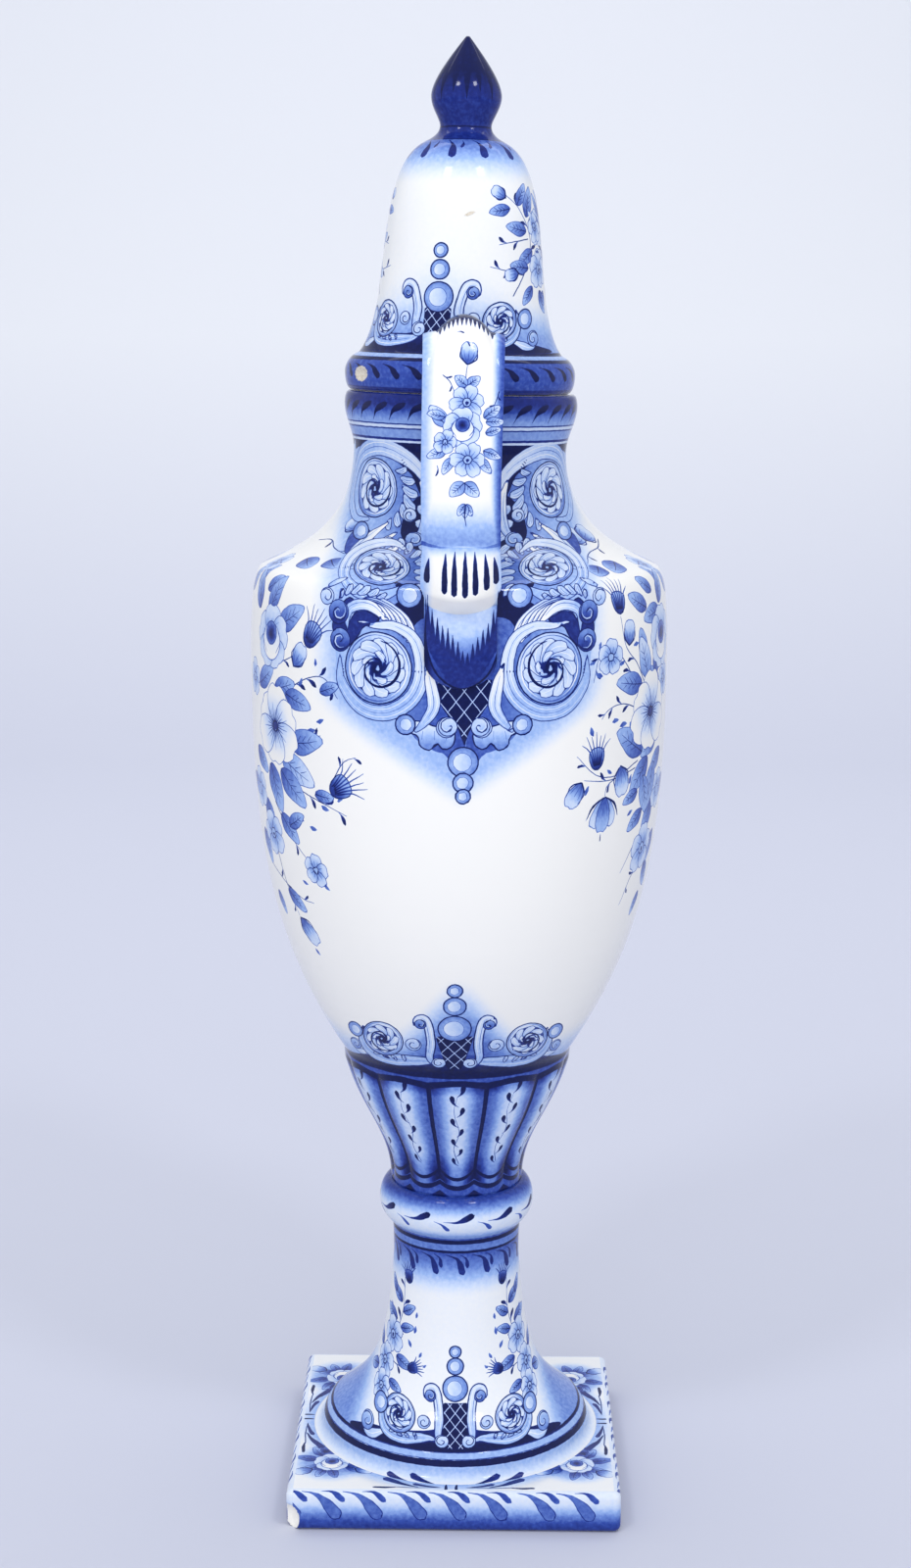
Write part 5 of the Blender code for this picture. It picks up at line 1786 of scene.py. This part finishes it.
def strap_rings(line, side):
    """Points of a strap's rings, and the height of its crest at each."""
    middle = np.array([station[:2] for station in line])
    way = np.empty_like(middle)
    way[1:-1] = middle[2:] - middle[:-2]
    way[0], way[-1] = middle[1] - middle[0], middle[-1] - middle[-2]
    way /= np.hypot(*way.T)[:, None]
    rings, heights = [], []
    for (reach, height, zone, share), (run, rise) in zip(line, way):
        section = section_points(*strap_section(zone, share))
        if zone == "knuckle":
            smile = (section[:, 0] / (STRAP_WIDTH / 2)) ** 2
            height = height + KNUCKLE_SMILE * smile * (1 - share) ** 1.5
        out = reach + section[:, 1] * rise
        up = height - section[:, 1] * run
        rings.append(np.stack([section[:, 0] * -side, side * out, up], 1))
        heights.append(up[FACE_COLUMNS // 2])
    return leaned(np.array(rings)), np.array(heights)


def strap_canvas(line, rings):
    """A strap's canvas, and the painting's y at each of its rings."""
    columns = rings.shape[1]
    crest = rings[:, FACE_COLUMNS // 2]
    travel = np.concatenate([[0], np.cumsum(np.linalg.norm(np.diff(crest, axis=0), axis=1))]) * MM
    levels = np.array([station[1] for station in line])
    foot_row = [station[2] for station in line].index("strap")
    length = travel - travel[foot_row] + levels[foot_row] * MM
    length[:foot_row] = levels[:foot_row] * MM
    axis = leaned(levels[:, None] * np.array([0, 0, 1.0]))[:, :1]
    ramps = [np.linspace(-1, 1, FACE_COLUMNS + 1), np.linspace(1, -1, columns - FACE_COLUMNS - 1)]
    across = np.abs(rings[..., 0] - axis) * np.sign(np.concatenate(ramps)) * MM
    along = np.repeat(length[:, None], columns + 1, 1)
    return Canvas(face_corners(closed_grid(across)), face_corners(along), None), length


def make_strap(name, side, finish):
    """One strap handle, from its tongue on the belly over the arch into the neck."""
    line = strap_line()
    rings, heights = strap_rings(line, side)
    rows, columns = rings.shape[:2]
    ends = np.arange(columns)[::-1], (rows - 1) * columns + np.arange(columns)
    item = build_mesh(name, rings.reshape(-1, 3), ring_quads(rows, columns), [end.tolist() for end in ends])
    canvas, length = strap_canvas(line, rings)
    climb = np.maximum.accumulate(heights * MM)
    paint_strap(canvas, lambda height: float(np.interp(height, climb, length)))
    return finished(item, finish, canvas)


# Plinth

def square_ring(half, rounding, count):
    """Points round a square with rounded corners, counterclockwise from its right side's middle."""
    share = np.linspace(-1, 1, count + 1)[:-1]
    run = (0.55 * share + 0.45 * np.sin(share * math.pi / 2)) * (half - rounding)
    turn = (np.arange(CORNER_COLUMNS) / CORNER_COLUMNS) * math.pi / 2
    side = np.stack([np.full(count, half), run], 1)
    corner = half - rounding + rounding * np.stack([np.cos(turn), np.sin(turn)], 1)
    quarter = np.concatenate([side, corner])
    parts = []
    for _ in range(4):
        parts.append(quarter)
        quarter = np.stack([-quarter[:, 1], quarter[:, 0]], 1)
    return np.concatenate(parts)


def plinth_rings():
    """Rings of points down the plinth's outside and through its recess, and how many are painted."""
    half, rounding = PLINTH_SIDE / 2, PLINTH_ROUNDING
    edge = square_ring(half, rounding, SIDE_COLUMNS)
    inset = square_ring(half - rounding, SHARP, SIDE_COLUMNS)
    bearing = square_ring(half - BEARING_WIDTH, SHARP, SIDE_COLUMNS)
    angle = np.arctan2(edge[:, 1], edge[:, 0])
    circle = np.stack([np.cos(angle), np.sin(angle)], 1)
    hub, bore = HUB_RADIUS * circle, (BELL_RADIUS - BODY_WALL) * circle
    roof = PLINTH_THICK - PLINTH_ROOF
    quarter = np.linspace(0, math.pi / 2, ROUNDING_RINGS)[1:]
    levels = [(hub + (inset - hub) * share, PLINTH_THICK) for share in np.linspace(0, 1, TOP_RINGS)]
    for turn in quarter:
        sink = rounding * (1 - math.cos(turn))
        levels.append((inset + (edge - inset) * math.sin(turn), PLINTH_THICK - sink))
    levels += [(edge, height) for height in np.linspace(PLINTH_THICK - rounding, rounding, SIDE_RINGS)[1:]]
    for turn in quarter:
        levels.append((edge + (inset - edge) * (1 - math.cos(turn)), rounding * (1 - math.sin(turn))))
    painted = len(levels)
    levels += [(bearing, 0.0), (bearing, roof), (bore, roof), (bore, PLINTH_THICK - LAP)]
    rings = [np.column_stack([points, np.full(len(points), height)]) for points, height in levels]
    return np.array(rings), painted


def chip_corner(rings):
    """The rings with a chip out of the front left corner, and millimetres from the chip's edge."""
    corner = PLINTH_ROUNDING * (1 - 1 / math.sqrt(2)) - PLINTH_SIDE / 2
    stretch = np.array([1, 1, CORNER_CHIP_STRETCH]) * CORNER_CHIP_RADIUS
    offset = (rings - np.array([corner, corner, CORNER_CHIP_LEVEL])) / stretch
    depth = np.linalg.norm(offset, axis=-1)
    inward = np.array([1.0, 1.0, 0.0]) / math.sqrt(2)
    along = (offset * inward / stretch).sum(-1) * CORNER_CHIP_RADIUS
    reach = np.sqrt(np.clip(along ** 2 + 1 - depth ** 2, 0, None)) - along
    uneven = 1 + 0.10 * np.sin(rings[..., 2] * 900) * np.cos(rings[..., 0] * 1300)
    move = np.where(depth < 1, reach * CORNER_CHIP_RADIUS * uneven, 0)
    return rings + move[..., None] * inward, (depth - 1) * CORNER_CHIP_RADIUS * MM


def make_plinth(finish):
    """The square plinth: a rounded slab, open under the bell and recessed below."""
    rings, painted = plinth_rings()
    broken, from_chip = chip_corner(rings)
    rows, columns = rings.shape[:2]
    column = np.arange(columns)
    following = (column + 1) % columns
    last = (rows - 1) * columns
    seam = np.stack([last + column, last + following, following, column], 1)
    quads = np.concatenate([ring_quads(rows, columns), seam])[:, ::-1]
    turn = np.array(Matrix.Rotation(PLINTH_TURN, 3, "Z"))
    item = build_mesh("plinth", broken.reshape(-1, 3) @ turn.T, quads)
    grid = closed_grid(rings[:painted] * MM)
    from_chip = closed_grid(from_chip[:painted])
    side = (np.arange(columns + 1) // (columns // 4) % 4) * math.pi / 2
    sideways = -grid[..., 0] * np.sin(side) + grid[..., 1] * np.cos(side)

    def corners(values):
        return face_corners(values)[:, ::-1]

    above, below = slice(0, TOP_RINGS), slice(TOP_RINGS - 1, None)
    top = Canvas(corners(grid[above, :, 0]), corners(grid[above, :, 1]), None)
    top.bare[:] = corners(from_chip[above])
    paint_plinth_top(top)
    skirt = Canvas(corners(sideways[below]), corners(grid[below, :, 2]), None, (TOP_RINGS - 1) * columns)
    skirt.bare[:] = corners(from_chip[below])
    shoulder = (PLINTH_THICK - PLINTH_ROUNDING) * MM
    bend = (skirt.along - shoulder) / (PLINTH_ROUNDING * MM)
    rounded = shoulder + PLINTH_ROUNDING * MM * np.arcsin(np.clip(bend, 0, 1))
    skirt.along = np.where(bend > 0, rounded, skirt.along)
    paint_plinth_side(skirt)
    return finished(item, finish, top, skirt)


def add_lamp(name, place, way, size, power):
    """A square soft lamp that shines along a direction."""
    lamp = bpy.data.lights.new(name, "AREA")
    lamp.size = size
    lamp.energy = power
    item = add_item(name, lamp)
    item.location = place
    item.rotation_euler = Vector(way).to_track_quat("-Z", "Y").to_euler()
    return item


def make_stage():
    """A pale floor that sweeps up into a backdrop, with painted shade that darkens its paper toward the
    floor; the sky and soft lamps.
    """
    bend = np.linspace(0, math.pi / 2, 13)
    run = SWEEP_START + SWEEP_RADIUS * np.concatenate([np.sin(bend), [1.0]])
    run = np.concatenate([[-STAGE_REACH], run])
    rise = np.concatenate([[0.0], SWEEP_RADIUS * (1 - np.cos(bend)), [STAGE_REACH]])
    edges = [[side * STAGE_REACH, y, z] for y, z in zip(run, rise) for side in (-1, 1)]
    strips = [[2 * row, 2 * row + 1, 2 * row + 3, 2 * row + 2] for row in range(len(run) - 1)]
    floor = build_mesh("floor", np.array(edges), np.array(strips))
    paper = bpy.data.materials.new("pale paper with painted shade")
    paper.use_nodes = True
    tree = paper.node_tree
    place = add_node(tree, "TexCoord", {}).outputs["Object"]
    height = add_node(tree, "SeparateXYZ", {0: place}).outputs["Z"]
    # painted shade: the paper is darker low on the floor and lighter up the backdrop
    paper_shade_ramp = add_node(tree, "ValToRGB", {0: height})
    for element, colour in zip(paper_shade_ramp.color_ramp.elements, (PAPER_SHADE_LOW, PAPER_SHADE_HIGH)):
        element.color = colour
    paper_shade_ramp.color_ramp.elements[1].position = PAPER_SHADE_LEVEL
    feed(tree.nodes["Principled BSDF"], {"Base Color": paper_shade_ramp.outputs[0], "Roughness": PAPER_ROUGHNESS})
    floor.data.materials.append(paper)
    bpy.context.scene.view_settings.view_transform = "Standard"
    world = bpy.data.worlds.new("studio")
    world.use_nodes = True
    feed(world.node_tree.nodes["Background"], {0: SKY, 1: SKY_STRENGTH})
    bpy.context.scene.world = world
    add_lamp("backdrop_wash", WASH_PLACE, WASH_WAY, WASH_SIZE, WASH_POWER)
    for name, azimuth, distance, height, size, power, mirrored in LAMPS:
        angle = math.radians(azimuth)
        place = Vector((distance * math.sin(angle), -distance * math.cos(angle), height))
        add_lamp(name, place, Vector(LAMPS_AIM) - place, size, power).visible_glossy = mirrored


def make_camera():
    """The camera where the photograph was taken."""
    data = bpy.data.cameras.new("camera")
    data.lens = CAMERA_LENS
    data.sensor_width = CAMERA_SENSOR
    item = add_item("camera", data)
    turn = Matrix.Rotation(-CAMERA_YAW, 4, "Z") @ Matrix.Rotation(math.pi / 2 - CAMERA_PITCH, 4, "X")
    item.matrix_world = Matrix.Translation(CAMERA_PLACE) @ turn @ Matrix.Rotation(CAMERA_ROLL, 4, "Z")
    bpy.context.scene.camera = item


def main():
    """Make the pieces, the light and the camera."""
    make_camera()
    make_stage()
    brush, blue = brush_group(), underglaze_group()
    body_finish = painted_glaze("painted glaze on the body", brush, blue, BODY_CLAY)
    lid_finish = painted_glaze("painted glaze on the lid", brush, blue, LID_CLAY)
    body = [
        make_plinth(body_finish),
        make_foot(body_finish),
        make_vessel(body_finish),
        make_strap("front_strap", -1, body_finish),
        make_strap("back_strap", 1, body_finish),
    ]
    for item in body:
        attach(item, "root")
        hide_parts("amphora")
    lid = make_lid(lid_finish)
    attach(lid, "root")
    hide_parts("lid")


main()
